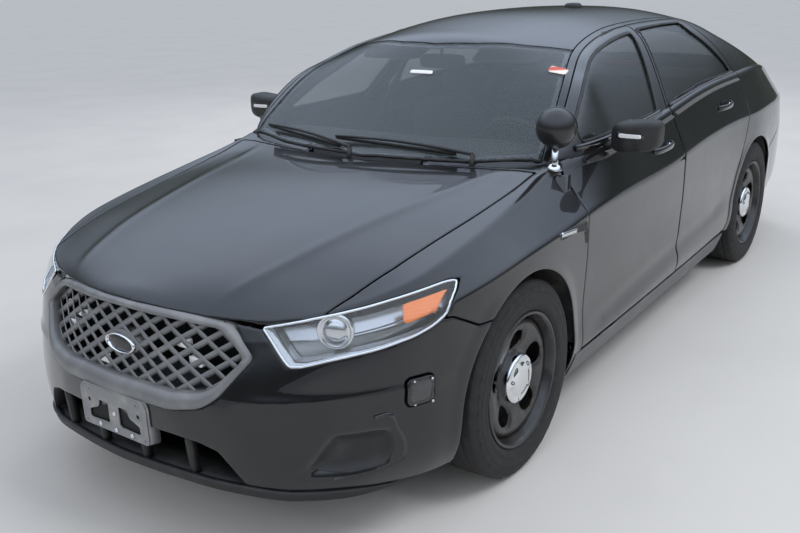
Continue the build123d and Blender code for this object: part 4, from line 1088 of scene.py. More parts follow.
# The sill moulding: a box between the wheel arches
def quarterBelow(verts):
    out = np.maximum(verts[:, 2] - 290, 178 - verts[:, 2])
    out = np.maximum(out, np.maximum(verts[:, 0] - 1112, -858 - verts[:, 0]))
    return np.where(verts[:, 1] > 600, out, 500)


# A rounded rectangle on the flank, turned with the bumper's corner
def cornerLampField(verts):
    turn = math.radians(28)
    along = -(verts[:, 0] - 2102) * math.cos(turn) + (verts[:, 1] - 868) * math.sin(turn)
    dx, dz = np.abs(along) - 32, np.abs(verts[:, 2] - 540) - 28
    out = np.hypot(np.maximum(dx, 0), np.maximum(dz, 0)) + np.minimum(np.maximum(dx, dz), 0) - 18
    return np.where(verts[:, 1] > 500, out, 500)


makeBodyPanels()
print("body panels made")


# A lens over a lamp opening: the skin within its outline, clear, with a bowl of silver behind it
def makeHeadlamps():
    settings = dict(lensPush=1.5, bowlPush=-62.0, wallSlide=(-58.0, -10.0, 0), axis=(0.9, 0.42, 0.0))
    front = lambda v: (v[:, 0] > 1880) & (v[:, 1] > 400)
    field = lambda v: only(front, headlampField)(v) + 1.6
    panelPair("headlampLens", bodySource, field, "lens", "lamp_lens", thickness=2.5, roll=1.5, inner="lens",
        push=settings["lensPush"])
    panelPair("headlampBowl", bodySource, lambda v: field(v) + 1.0, "lampSilver", "lamp_lens", thickness=2,
        roll=0.5, inner="lampSilver", push=settings["bowlPush"])
    rounded = smoothCorners(headlampOutline, 9, 5)
    edge, inner = (skinAt([(1700, y, z) for y, z in densify(grow(rounded, -inset), 12)], bodySource, 0)
        for inset in (1, 7))
    pair("headlampTrim", tube(edge + [1.0, 0, 0], 4.2, 8, closedPath=True), "chrome", "lamp_lens")
    inner = np.array([inner[np.argmin(((inner[:, 1:] - p[1:]) ** 2).sum(1))]
        for p in edge]) + settings["wallSlide"]
    rim = edge + [-2.0, 0, 0]
    grid = np.stack([rim, inner, inner + [0, 0, 1.5], rim + [0, 0, 1.5], rim], 1)
    grid = np.concatenate([grid, grid[:1]], 0)
    pair("headlampWall", outward(*weld(*gridMesh(grid))), "lampSilver", "lamp_lens")
    bowl = [(-34, 0), (-34, 52), (4, 58), (9, 54), (2, 47), (0, 40), (12, 34), (18, 22), (21, 0)]
    pair("headlampProjector", lathe(bowl, (2252, 676, 742), axis=settings["axis"]), "chrome", "lamp_lens")
    pair("headlampBall", lathe([(0, 0), (0, 38), (12, 34), (22, 20), (26, 0)], (2262, 681, 742),
        axis=settings["axis"]), "lens", "lamp_lens")
    amberField = outlineField([(812, 806), (876, 822), (890, 772), (842, 752)], yz)
    panelPair("headlampAmber", bodySource, only(front, amberField), "amber", "lamp_lens", thickness=8,
        roll=3, inner="amber", push=-5)


makeHeadlamps()


# The tail lamps with a clear strip each, and the rear bumper's reflectors and black valance
def makeTailLamps():
    settings = dict(clearLow=868, clearHigh=902, reflector=(596, 62, 420, 15), valanceTop=372)
    y0, halfWidth, z0, halfHeight = settings["reflector"]
    field = lambda v: only(lambda v: (v[:, 0] < -2100) & (v[:, 1] > 400), tailLampField)(v) + 1.6
    panelPair("tailLampLens", bodySource, field, "red", "red_lens", thickness=14, roll=5, inner="red",
        push=2)
    clear = lambda v: np.maximum(field(v) + 16, np.maximum(settings["clearLow"] - v[:, 2], v[:, 2]
        - settings["clearHigh"]))
    panelPair("tailLampClear", bodySource, clear, "led", "red_lens", thickness=4, roll=2, inner="led",
        push=4)
    box = lambda v: np.maximum(np.abs(v[:, 1] - y0) - halfWidth, np.abs(v[:, 2] - z0) - halfHeight)
    panelPair("rearReflector", bodySource, only(lambda v: (v[:, 0] < -2300) & (v[:, 1] > 300), box), "red",
        "red_lens", thickness=4, roll=2, inner="red", push=3)
    taper = lambda v: np.maximum(np.abs(v[:, 1]) - 560 + 0.5 * np.maximum(v[:, 2] - 300, 0), v[:, 2]
        - settings["valanceTop"])
    panel("rearValance", bodySource, only(lambda v: v[:, 0] < -2150, taper), "plastic", "black_plastic",
        thickness=4, roll=3, push=3)


makeTailLamps()


# The grille: a hexagonal surround standing on the nose, a woven diamond mesh behind, a plain oval badge
def makeGrille():
    settings = dict(pitch=54.0, bar=3.2, depth=30.0, slope=33, badge=(2517, 0, 651))

    # The nose's x at a place seen from the front
    def noseX(y, z):
        return skinAt([(2300, y, z)], bodySource, 0)[0, 0]

    outer = smoothCorners(grow(grilleOutline, 2), 26, 10)
    inner = smoothCorners(grilleMouth, 22, 10)
    outerX = skinAt(np.insert(outer, 0, 2300, axis=1), bodySource, 0)[:, 0]
    innerX = skinAt(np.insert(inner, 0, 2300, axis=1), bodySource, 0)[:, 0]
    profile = [(0.0, -14), (0.0, 5), (0.1, 10), (0.5, 12), (0.9, 5), (1.0, -4), (1.0, -46), (0.0, -46)]
    rings = [np.column_stack([outerX + share * (innerX - outerX) + push, outer + share * (inner - outer)])
        for share, push in profile]
    put("grilleSurround", band(rings), "grey", "grille_grey")
    mouth = outlineField(grow(inner, 9), [0, 1])
    slope = math.radians(settings["slope"])
    bars = []
    for turn in (1, -1):
        direction = np.array([math.cos(slope), turn * math.sin(slope)])
        normal = np.array([-direction[1], direction[0]])
        for k in range(-14, 15):
            start = np.array([0.0, 655.0]) + normal * k * settings["pitch"] * 0.84
            points = start + direction * np.linspace(-620, 620, 249)[:, None]
            inside = mouth(points) < 0
            if inside.sum() < 4:
                continue
            points = points[inside]
            x = skinAt(np.insert(points[::4], 0, 2300, axis=1), bodySource, 0)[:, 0]
            x = np.interp(np.arange(len(points)), np.arange(len(points))[::4], x) - settings["depth"]
            path = np.column_stack([x, points])
            ring = np.array([[1.0, 0.0], [0.6, 2.6], [-0.6, 2.6], [-1.0, 0.0], [-0.6, -3.4], [0.6, -3.4]])
            bars.append(tube(path, settings["bar"], ring=ring))
    put("grilleMesh", merge(*bars), "grey", "grille_grey")
    put("grilleBack", plate(grow(inner, 20), 0, 2340, 2348), "under", "grille_grey")
    for name, profile, squash, material in (("badgeHousing", [(-46, 0), (-46, 84), (-38, 88), (-14, 80),
            (-6, 70), (-6, 0)], 0.52, "grey"), ("badgeRing", [(-8, 58), (-8, 71), (2, 73), (8, 70), (9, 65),
            (5, 61), (-1, 58)], 0.46, "chrome"), ("badgeFace", [(-4, 0), (-4, 63), (1, 61), (4, 40), (5, 0)],
            0.44, "steel")):
        verts, tris = lathe(profile, (0, 0, 0), axis=(1, 0, 0))
        put(name, (verts * np.array([1, 1, squash]) + settings["badge"], tris), material, "grille_grey")
    for side in (-1, 1):
        for row, (y, z) in enumerate(((300, 640), (245, 690))):
            put(f"grilleLight_{'left' if side > 0 else 'right'}{row}",
                pillow((noseX(y, z) - 52, side * y, z), (26, 56, 30), power=8), "led", "grille_grey")


makeGrille()


# The lower intake, the chin's lip and tray, the plate bracket and the scoops at the bumper's corners
def makeLowerFace():
    settings = dict(wall=4.0, mouthBack=2392.0, strut=11.0, lipDepth=9.0, chinStep=8.0)
    chin = [(y, z - 4) for y, z in reversed(chinLine) if y < 490]
    mouth = smoothCorners(acrossCar(intakeTop + chin), 14, 5)
    skinX = skinAt(np.insert(mouth, 0, 2300, axis=1), bodySource, 0)[:, 0]
    wider = grow(mouth, settings["wall"])
    deep = np.full(len(mouth), settings["mouthBack"])
    rows = [(skinX - 4, mouth), (skinX - 4, wider), (deep, wider), (deep, mouth)]
    put("intakeWalls", band([np.column_stack(row) for row in rows]), "plastic", "black_plastic")
    put("intakeBack", plate(grow(mouth, 6), 0, settings["mouthBack"] - 8, settings["mouthBack"]), "under",
        "black_plastic")
    struts = []
    for y in (-305, -105, 105, 305):
        top = skinAt([(2300, y, 408)], bodySource, 0)[0, 0] - 16
        foot = skinAt([(2300, y, 300)], bodySource, 0)[0, 0] - 16
        line = np.array([(top, y, 416), (top, y, 400), ((top + foot) / 2, y, 350), (foot, y, 300),
            (foot, y, 282)], float)
        struts.append(tube(line, settings["strut"], ring=[[0.7, 1], [-0.7, 1], [-1, -1.6], [1, -1.6]]))
    put("intakeStruts", merge(*struts), "plastic", "black_plastic")
    y = np.linspace(-864, 864, 145)
    z = np.interp(np.abs(y), *zip(*chinLine))
    chinX = skinAt(np.column_stack([np.full(len(y), 1700.0), y, z + settings["chinStep"]]), bodySource,
        0)[:, 0]
    chinX = np.convolve(np.pad(chinX, 3, mode="edge"), np.ones(7) / 7, "valid")
    ring = np.array([[1.0, 0.3], [0.5, 0.7], [-1.2, 0.6], [-1.4, -0.4], [-0.6, -2.8], [0.2, -2.9],
        [0.5, -0.5], [1.0, -0.1]])
    put("chinLip", tube(np.column_stack([chinX, y, z]), settings["lipDepth"] * smoothStep(-np.abs(y), -866,
        -700), ring=ring), "plastic", "black_plastic")
    tray = [(x - 14, side) for x, side in zip(chinX[::8], y[::8])]
    tray = plate([(2120, 700), (2120, -700)] + tray[2:-2], 2, 247, 252)
    put("chinTray", tray, "under", "black_plastic")
    y, z = np.meshgrid(np.linspace(-168, 168, 169), np.linspace(350, 510, 81), indexing="ij")
    grid = np.stack([np.full_like(y, 2579.0), y, z], -1)
    verts, tris = outward(*gridMesh(grid))
    holderOutline = smoothCorners([(-163, 355), (163, 355), (163, 484), (148, 506), (-148, 506),
        (-163, 484)], 14, 6)
    shape = outlineField(holderOutline, yz)(verts)
    opening = outlineField(smoothCorners([(25, 385), (127, 382), (127, 412), (78, 431), (70, 458),
        (25, 457)], 9, 5), yz)
    for side in (1, -1):
        shape = np.maximum(shape, -opening(verts * np.array([1, side, 1])))
        for place in ((118, 486, 4.0), (122, 447, 8.0), (146, 368, 4.0)):
            shape = np.maximum(shape, place[2] - np.hypot(verts[:, 1] - side * place[0], verts[:, 2]
                - place[1]))
    verts, tris, shape = cutMesh(verts, tris, shape)
    verts[:, 0] += 4.0 * smoothStep(shape, -9, -1) - 2
    if normalsOf(verts, tris[:1])[tris[0, 0], 0] < 0:
        tris = tris[:, ::-1]
    thicken(put("plateHolder", (verts, tris), "bracket", "bracket_grey"), 5)
    bolts = [lathe([(0, 0), (0, 8.5), (3, 8), (4.5, 4.5), (4.5, 0)], (2578, y, z), axis=(1, 0, 0),
        segments=20) for y, z in ((-80, 368), (80, 368), (0, 366), (0, 424))]
    put("plateHolderBolts", merge(*bolts), "chrome", "bracket_grey")
    rows = [(2575, 0), (2568, 3), (2540, 9), (2540, 5), (2566, -1), (2573, -5)]
    rim = band([np.insert(grow(holderOutline, out), 0, x, axis=1) for x, out in rows])
    put("plateHolderRim", rim, "bracket", "bracket_grey")
    # Dark pads behind the holder's openings: painted shade, standing in for the dark road reflected by the
    # bumper that is seen through the openings
    shadePads = [plate([(side * px, pz) for px, pz in ((20, 380), (134, 377), (134, 418), (84, 437), (76, 464),
        (20, 463))], 0, 2568, 2574) for side in (1, -1)]
    put("plateHolderPaintedShade", merge(*shadePads), "under", "bracket_grey")
    put("plateHolderArms", merge(*[tube([(2570, y, 448), (2500, y, 446)], 12, 10) for y in (-150, 150, 0)]),
        "plastic", "bracket_grey")
    scoop = outlineField(smoothCorners([(640, 322), (708, 440), (786, 438), (822, 424), (828, 378),
        (816, 322), (786, 302), (730, 298)], 16, 5), yz)
    panelPair("scoopFloor", bodySource, gapped(only(lambda v: (v[:, 0] > 1980) & (v[:, 1] > 400), scoop)),
        "plastic", "black_paint", thickness=3, roll=2, push=1.5)
    outerEdge = smoothLine([(2240, 800, 488), (2196, 828, 488), (2172, 842, 430), (2152, 854, 370),
        (2152, 848, 325), (2208, 802, 300), (2333, 702, 286)], 72)
    innerEdge = smoothLine([(2226, 792, 466), (2203, 786, 436), (2184, 780, 398), (2176, 772, 364),
        (2196, 760, 334), (2250, 734, 314), (2328, 698, 294)], 72)
    out = np.array([4.0, 3.0, 0])
    rows = [outerEdge - out * 3, outerEdge + out, outerEdge * 0.6 + innerEdge * 0.4 + out, innerEdge * 0.85
        + outerEdge * 0.15, innerEdge - out * 2]
    pair("scoopBlade", bar(rows), "gloss", "black_paint")


makeLowerFace()


# A road wheel about an upright wheel centre at the origin side y > 0; the other side is mirrored
def makeWheels():
    settings = dict(radius=363.0, width=245.0, rim=246.0, holes=5, holeRadius=46.0, holeRing=147.0,
        track=830)
    r, w = settings["radius"], settings["width"] / 2
    crown = []
    for y in np.linspace(-w + 22, w - 22, 57):
        groove = 7.0 if min(abs(abs(y) - 22), abs(abs(y) - 62)) < 5 else 0.0
        crown.append((y, r - groove - 5.0 * (abs(y) / w) ** 4))
    wall = [(w - 12, r - 14), (w - 5, r - 24), (w - 5.8, r - 25), (w - 4.2, r - 26.5), (w - 1, r - 44),
        (w - 1.8, r - 45), (w + 0.0, r - 46.5), (w, r - 62), (w - 2, r - 82), (w - 1.0, r - 84),
        (w - 5, r - 96), (w - 6, r - 99), (w - 14, r - 110), (w - 22, settings["rim"])]
    tyre = crown + wall + [(w - 30, settings["rim"] - 6), (-w + 30, settings["rim"] - 6)] + [(-a, b)
        for a, b in reversed(wall)]
    tyreMesh = lathe(tyre + tyre[:1], (0, 0, 0), segments=140)
    verts = tyreMesh[0].copy()
    angle = np.arctan2(verts[:, 2], verts[:, 0])
    radius = np.hypot(verts[:, 0], verts[:, 2])
    shoulder = (np.abs(verts[:, 1]) > w - 46) & (radius > r - 26)
    notch = shoulder * (np.sin(angle * 35) > 0.62) * 3.0
    verts[:, 0] *= 1 - notch / radius
    verts[:, 2] *= 1 - notch / radius
    tyreMesh = verts, tyreMesh[1]
    outerFace = w - 14.5
    # The disc is a polar grid, dished by a curve over its radius, with five holes cut out
    rings = np.array([0, 40, 60, 78, 92, 104, 112, 120, 130, 140, 147, 154, 164, 174, 184, 194, 202, 210,
        217, 222.0])
    dish = [-28, -28, -30, -38, -22, -14, -18, -30, -44]
    depth = np.interp(rings, [0, 60, 92, 104, 147, 184, 205, 214, 222], dish) + outerFace - 10
    angles = np.linspace(0, 2 * np.pi, 181)
    grid = np.zeros((len(rings), len(angles), 3))
    grid[..., 0] = rings[:, None] * np.cos(angles)
    grid[..., 2] = rings[:, None] * np.sin(angles)
    grid[..., 1] = depth[:, None]
    fine, tris = gridMesh(grid)

    # The least distance to the rim of a hole
    def holeField(verts):
        nearest = np.full(len(verts), 1e9)
        for k in range(settings["holes"]):
            a = math.radians(90 + 72 * k)
            dx = verts[:, 0] - settings["holeRing"] * math.cos(a)
            dz = verts[:, 2] - settings["holeRing"] * math.sin(a)
            along = dx * math.cos(a) + dz * math.sin(a)
            across = -dx * math.sin(a) + dz * math.cos(a)
            nearest = np.minimum(nearest, np.hypot(along / 0.80, across) - settings["holeRadius"])
        return nearest

    hole = holeField(fine)
    fine[:, 1] -= 7 * (1 - smoothStep(hole, 0, 16)) * (hole > -40)
    fine, tris = weld(fine, tris)
    disc = cutMesh(fine, tris, -holeField(fine))[:2]
    barrel = lathe([(w - 22, 248), (w - 14, 250), (w - 9, 246), (w - 12, 238), (w - 24, 234), (w - 42, 226),
        (w - 70, 219), (-w + 40, 219), (-w + 20, 238), (-w + 12, 246), (-w + 16, 250), (-w + 22, 248),
        (-w + 46, 226), (0, 224), (w - 60, 228), (w - 22, 248)], (0, 0, 0), segments=96)
    cap = lathe([(outerFace - 45, 0), (outerFace - 45, 92), (outerFace - 20, 92), (outerFace - 12, 88),
        (outerFace - 10, 78), (outerFace - 16, 70), (outerFace - 10, 62), (outerFace - 4, 52),
        (outerFace - 1, 36), (outerFace, 0)], (0, 0, 0), segments=80)
    capVerts = cap[0].copy()
    capAngle, capRadius = np.arctan2(capVerts[:, 2], capVerts[:, 0]), np.hypot(capVerts[:, 0],
        capVerts[:, 2])
    bump = np.clip(np.cos(capAngle * 5) - 0.55, 0, 1) / 0.45 * np.exp(-((capRadius - 66) / 11) ** 2)
    capVerts[:, 1] += 9 * bump * (capVerts[:, 1] > outerFace - 30)
    cap = capVerts, cap[1]
    drumDisc = lathe([(-20, 0), (-20, 60), (10, 60), (14, 160), (30, 160), (34, 60), (60, 58), (60, 0)],
        (0, 0, 0), segments=64)
    valve = tube([(186, outerFace - 30, 62), (190, outerFace - 6, 64)], 4.5, 8)
    shapes = [("tyreTread", tyreMesh, "tyre", "tyre_rubber"), ("wheelBarrel", barrel, "steel",
        "wheel_steel"), ("wheelCap", cap, "chrome", "wheel_steel"), ("wheelHub", drumDisc, "disc",
        "wheel_steel"), ("wheelValve", valve, "plastic", "wheel_steel"), ("wheelDisc", disc, "steel",
        "wheel_steel")]
    for end, x in zip(("front", "rear"), axlePlaces):
        for side, y in (("left", settings["track"]), ("right", -settings["track"])):
            for piece, shape, finishName, slotName in shapes:
                verts, tris = shape if y > 0 else mirrored(shape)
                thing = put(f"{piece}_{end}_{side}", (verts + [x, y, r], tris), finishName, slotName,
                    f"wheel_{end}_{side}")
                if piece == "wheelDisc":
                    thicken(thing, 5)


makeWheels()
print("wheels made")


# The door mirrors: a rounded housing drawn back at its outer end, its arm, glass and light
def makeMirrors():
    settings = dict(centre=(722, 995, 1104), size=(118, 196, 122))
    housing = pillow(settings["centre"], settings["size"], power=4.2, steps=22)
    verts = housing[0].copy()
    verts[:, 0] += 16 * smoothStep(-np.abs(verts[:, 1] - 995), -98, -20) * (verts[:, 0] > 722)
    verts[:, 2] += 0.10 * (verts[:, 1] - 995)
    pair("mirrorHousing", (verts, housing[1]), "plastic", "black_plastic", "door_front")
    arm = tube([(730, 842, 1062), (728, 880, 1062), (724, 925, 1070), (722, 960, 1086)], [26, 24, 22, 22],
        ring= oval(1.5, 0.6, 16))
    pair("mirrorArm", arm, "plastic", "black_plastic", "door_front")
    pair("mirrorGlass", pillow((664, 995, 1106), (8, 168, 100), power=5, steps=14), "chrome",
        "black_plastic", "door_front")
    pair("mirrorLightHousing", pillow((786, 990, 1112), (16, 116, 30), power=5, steps=14), "gloss",
        "black_plastic", "door_front")
    pair("mirrorLight", pillow((792, 990, 1112), (12, 92, 17), power=6, steps=14), "led", "black_plastic",
        "door_front")


makeMirrors()


# The plain bright bar and the dark recess behind it on each fender
def makeVents():
    ys = skinAt([(x, 700, 829 + 6 * (x - 1242) / 60) for x in np.linspace(1180, 1304, 21)], bodySource, 1)
    pair("fenderVentBar", tube(ys + [0, 2.5, 0], 9, ring=[[0.35, 1.0], [-0.35, 1.0], [-0.35, -1.0],
        [0.35, -1.0]]), "chrome", "black_paint")
    outline = smoothCorners([(1078, 742), (1096, 800), (1180, 812), (1300, 815), (1322, 838), (1180, 842),
        (1080, 835), (1064, 760)], 8, 5)
    edge = skinAt([(x, 700, z) for x, z in densify(outline, 10)], bodySource, 1)
    pair("fenderVentEdge", tube(edge, 2.6, 8, closedPath=True), "gloss", "black_paint")
    field = outlineField(outline, xz)
    panelPair("fenderVent", bodySource, only(lambda v: v[:, 1] > 700, field), "plastic", "black_paint",
        thickness=3, roll=1, push=0.8)


makeVents()


# Dark mouldings that frame the side windows, and the painted border under the windshield's edge
def makeMouldings():
    for name, pane, body in (("frontWindow", paneFrontField, "door_front"), ("rearWindow", paneRearField,
            "door_rear")):
        flank = within(lambda v: v[:, 1] > 500)
        strip = lambda v, pane=pane: np.maximum(pane(v) - 3, -pane(v) - 9)
        panelPair(f"{name}Moulding", greenSource, both(strip, flank), "plastic", "black_plastic", body,
            thickness=9, roll=2.5, inner="plastic", push=2.5)
    for name, x0, x1, body in (("frontBelt", 950, 90, "door_front"), ("rearBelt", -58, -1140, "door_rear")):
        xs = np.linspace(x0, x1, 40)
        zs = np.interp(-xs, [-950, -239, 187, 637, 1140], [1078, 1090, 1112, 1132, 1146])
        path = skinAt([(x, 500, z) for x, z in zip(xs, zs)], greenSource, 1) + [0, 5, 0]
        strip = tube(path, 12, ring=[[0.5, 1.0], [-0.3, 1.1], [-0.6, 0.6], [-0.6, -0.9], [0.6, -0.9],
            [0.8, 0.5]])
        pair(name, strip, "gloss", "black_plastic", body)
    for name, x0, x1, y0, y1, finishName in (("windshieldLabel", 652, 704, 580, 656, "label"),
            ("windshieldTag", 801, 819, -34, 88, "led")):
        field = outlineField([(x0, y0), (x1, y0), (x1 - 0.25 * abs(y1 - y0), y1), (x0 - 0.25 * abs(y1 - y0),
            y1)] if y0 > 500 else [(x0, y0), (x1, y0), (x1, y1), (x0, y1)], xy)
        panel(name, greenSource, field, finishName, "window_glass", thickness=0.8, roll=0.2, inner="plastic",
            push=0.6)
    for name, field, width in (("windshieldBorder", windshieldField, 24), ("rearGlassBorder", backlightField,
            24)):
        edge = lambda v, field=field, width=width: np.maximum(field(v) + 4, -(field(v) + width))
        panel(name, greenSource, edge, "frit", "window_glass", thickness=1.5, roll=0.3, inner="frit",
            push=-8)
    line = smoothLine([(x - 4, y) for x, y in windshieldBase], 40)
    line = np.concatenate([line[::-1] * [1, -1], line[1:]])
    path = skinAt([(x, y, 900) for x, y in line], greenSource, 2)
    put("windshieldSeal", tube(path + [0, 0, 1.0], 7, 8), "plastic", "black_plastic")


makeMouldings()


# A bowed grip, its cup and its lock on each door
def makeHandles():
    rows = [("handleFront", 84, 312, 958, "door_front"), ("handleRear", -905, -690, 1010, "door_rear")]
    for name, x0, x1, z, body in rows:
        xs = np.linspace(x0, x1, 25)
        skin = skinAt([(x, 700, z) for x in xs], bodySource, 1)
        bow = 30 * np.sin(np.clip((xs - x0) / (x1 - x0), 0, 1) * np.pi) ** 0.35 - 4
        path = skin + np.column_stack([0 * xs, bow, 0 * xs])
        pair(name, tube(path, 11, ring=oval(0.7, 1.35, 12)), "gloss", "black_plastic", body)
        pair(name + "Cup", pillow(skin[12] + [0, -3, 0], (120, 12, 56), power=3, steps=14), "under",
            "black_plastic", body)
        pair(name + "Lock", lathe([(0, 0), (0, 11), (6, 10), (8, 0)], skin[2] + [8, 0, -2]), "chrome",
            "black_plastic", body)


makeHandles()


# The round spotlamp at the left windshield pillar, on its stem and foot
def makeSpotlamp():
    settings = dict(centre=(1085, 815, 1177), axis=(0.9, 0.3, 0.1), radius=76)
    half = [(settings["radius"] * math.cos(a), settings["radius"] * math.sin(a)) for a in np.linspace(0,
        np.pi, 33)]
    rim = [(-32, 70), (-26, 77), (-18, 79), (-14, 76), (-20, 68), (-32, 70)]
    for name, profile, finishName in (("spotlampBody", half, "spot"), ("spotlampRim", rim, "gloss")):
        put(name, lathe(profile, settings["centre"], settings["axis"], 48), finishName, "spotlamp_black")
    put("spotlampStem", tube([(1085, 812, 1010), (1086, 814, 1040), (1086, 815, 1110)], [17, 13, 13], 16),
        "chrome", "spotlamp_black")
    put("spotlampFoot", lathe([(0, 0), (0, 30), (8, 28), (20, 19), (26, 0)], (1085, 812, 1018), (0, 0.2, 1)),
        "chrome", "spotlamp_black")


makeSpotlamp()


# The low round antenna on the roof
def makeAntenna():
    put("antennaPuck", lathe([(0, 0), (0, 48), (22, 46), (30, 40), (34, 30), (36, 0)], (-468, 150, 1524),
        axis=(0, 0, 1)), "plastic", "black_plastic")


makeAntenna()


# Two wipers: an arm that rises in the middle, its foot and its blade
def makeWipers():
    rows = [((1164, 500, 1063), (1188, -170, 1087), (1180, 500, 1000)),
        ((1232, -60, 1056), (1102, -640, 1090), (1246, -60, 1000))]
    arms = []
    for pivot, tip, foot in rows:
        pivot, tip, foot = (np.array(p, float) for p in (pivot, tip, foot))
        t = np.linspace(0, 1, 16)[:, None]
        arms.append(tube(pivot + t * (tip - pivot) + np.array([0, 0, 1]) * 12 * np.sin(t * np.pi),
            np.linspace(8, 5, 16), 8))
        arms.append(tube([foot, pivot], 10, 10))
        blade = pivot + np.linspace(0.12, 1.0, 20)[:, None] * (tip - pivot) + [-6, 0, -6]
        arms.append(tube(blade, 5, ring=[[1.4, 0.4], [0.5, 1.0], [-1.2, 0.7], [-1.2, -0.7], [0.2, -2.0],
            [1.2, -0.5]]))
    put("wiperArms", merge(*arms), "plastic", "black_plastic")


makeWipers()
print("outer pieces made")


# Seats, dashboard, steering wheel, visors and mirror, seen through the glass
def makeCabin():
    settings = dict(frontTilt=18, rearTilt=24, visorTilt=18, wheelTilt=24)
    for side, y in (("left", 420), ("right", -420)):
        base = pillow((130, y, 420), (540, 500, 170), power=5, steps=22)
        back = pillow((-190, y, 760), (170, 480, 640), power=4.5, steps=24, tilt=settings["frontTilt"])
        rest = pillow((-285, y, 1130), (100, 270, 150), power=3.5, steps=18)
        posts = merge(*[tube([(-262, y + gap, 1010), (-280, y + gap, 1090)], 7, 8) for gap in (-60, 60)])
        for name, mesh in (("frontCushion", base), ("frontBackrest", back), ("frontHeadrest", rest)):
            put(f"{name}_{side}", mesh, "cloth", "seat_cloth")
        put(f"headrestPosts_{side}", posts, "chrome", "seat_cloth")
        put(f"seatBase_{side}", pillow((120, y, 300), (420, 380, 80), power=8, steps=12), "plastic",
            "seat_cloth")
    bench = pillow((-800, 0, 410), (480, 1230, 230), power=6, steps=30)
    back = pillow((-1110, 0, 760), (170, 1230, 640), power=5, steps=30, tilt=settings["rearTilt"])
    for name, mesh in (("rearCushion", bench), ("rearBackrest", back)):
        put(name, mesh, "cloth", "seat_cloth")
    ys = np.linspace(-740, 740, 61)
    profile = [(1000, 640), (1004, 1010), (960, 1030), (800, 1036), (730, 1020), (702, 960), (700, 880),
        (740, 800), (800, 660), (1000, 640)]
    profile = smoothLine(profile[:-1], 60, closed=True)
    grid = np.stack([np.column_stack([profile[:, 0], np.full(len(profile), y), profile[:, 1]
        + 14 * math.exp(-((y - 380) / 190) ** 2) * (profile[:, 1] > 1000)]) for y in ys])
    ends = [np.tile(g.mean(0), (len(profile), 1)) for g in (grid[0], grid[-1])]
    grid = np.concatenate([ends[:1], grid, ends[1:]])
    dash = outward(*weld(*gridMesh(grid)))
    put("dashboardTop", dash, "dash", "dash_plastic")
    t = np.linspace(0, 2 * np.pi, 73)[:-1]
    tilt = math.radians(settings["wheelTilt"])
    centre, across = np.array([560.0, 380, 940]), np.array([0, 1, 0])
    upward = np.array([math.sin(tilt), 0, math.cos(tilt)])
    rim = centre + 186 * (np.cos(t)[:, None] * across + np.sin(t)[:, None] * upward)
    wheel = [tube(rim, 15, 12, closedPath=True)]
    for a in (0, np.pi, -np.pi / 2):
        end = centre + 178 * (math.cos(a) * across + math.sin(a) * upward)
        wheel.append(tube([centre, end], [18, 12], 8))
    wheel.append(lathe([(-20, 0), (-20, 62), (10, 58), (16, 0)], centre, axis=(-math.cos(tilt), 0,
        math.sin(tilt))))
    wheel.append(tube([centre, (740, 380, 868)], [30, 34], 16))
    put("steeringWheelRim", merge(*wheel), "plastic", "dash_plastic")
    for side, y in (("left", 360), ("right", -360)):
        put(f"visor_{side}", pillow((520, y * 0.86, 1381), (160, 330, 14), power=7, steps=14,
            tilt=settings["visorTilt"]), "cloth", "seat_cloth")
    put("cabinMirror", pillow((600, 0, 1350), (24, 240, 66), power=5, steps=14), "plastic", "dash_plastic")
    put("cabinMirrorStem", tube([(606, 0, 1372), (600, 0, 1404), (588, 0, 1436)], [9, 7, 12], 10), "plastic",
        "dash_plastic")
    put("highBrakeLamp", pillow((-1650, 0, 1122), (44, 300, 38), power=8, steps=10), "red", "red_lens")


makeCabin()
print("cabin made")


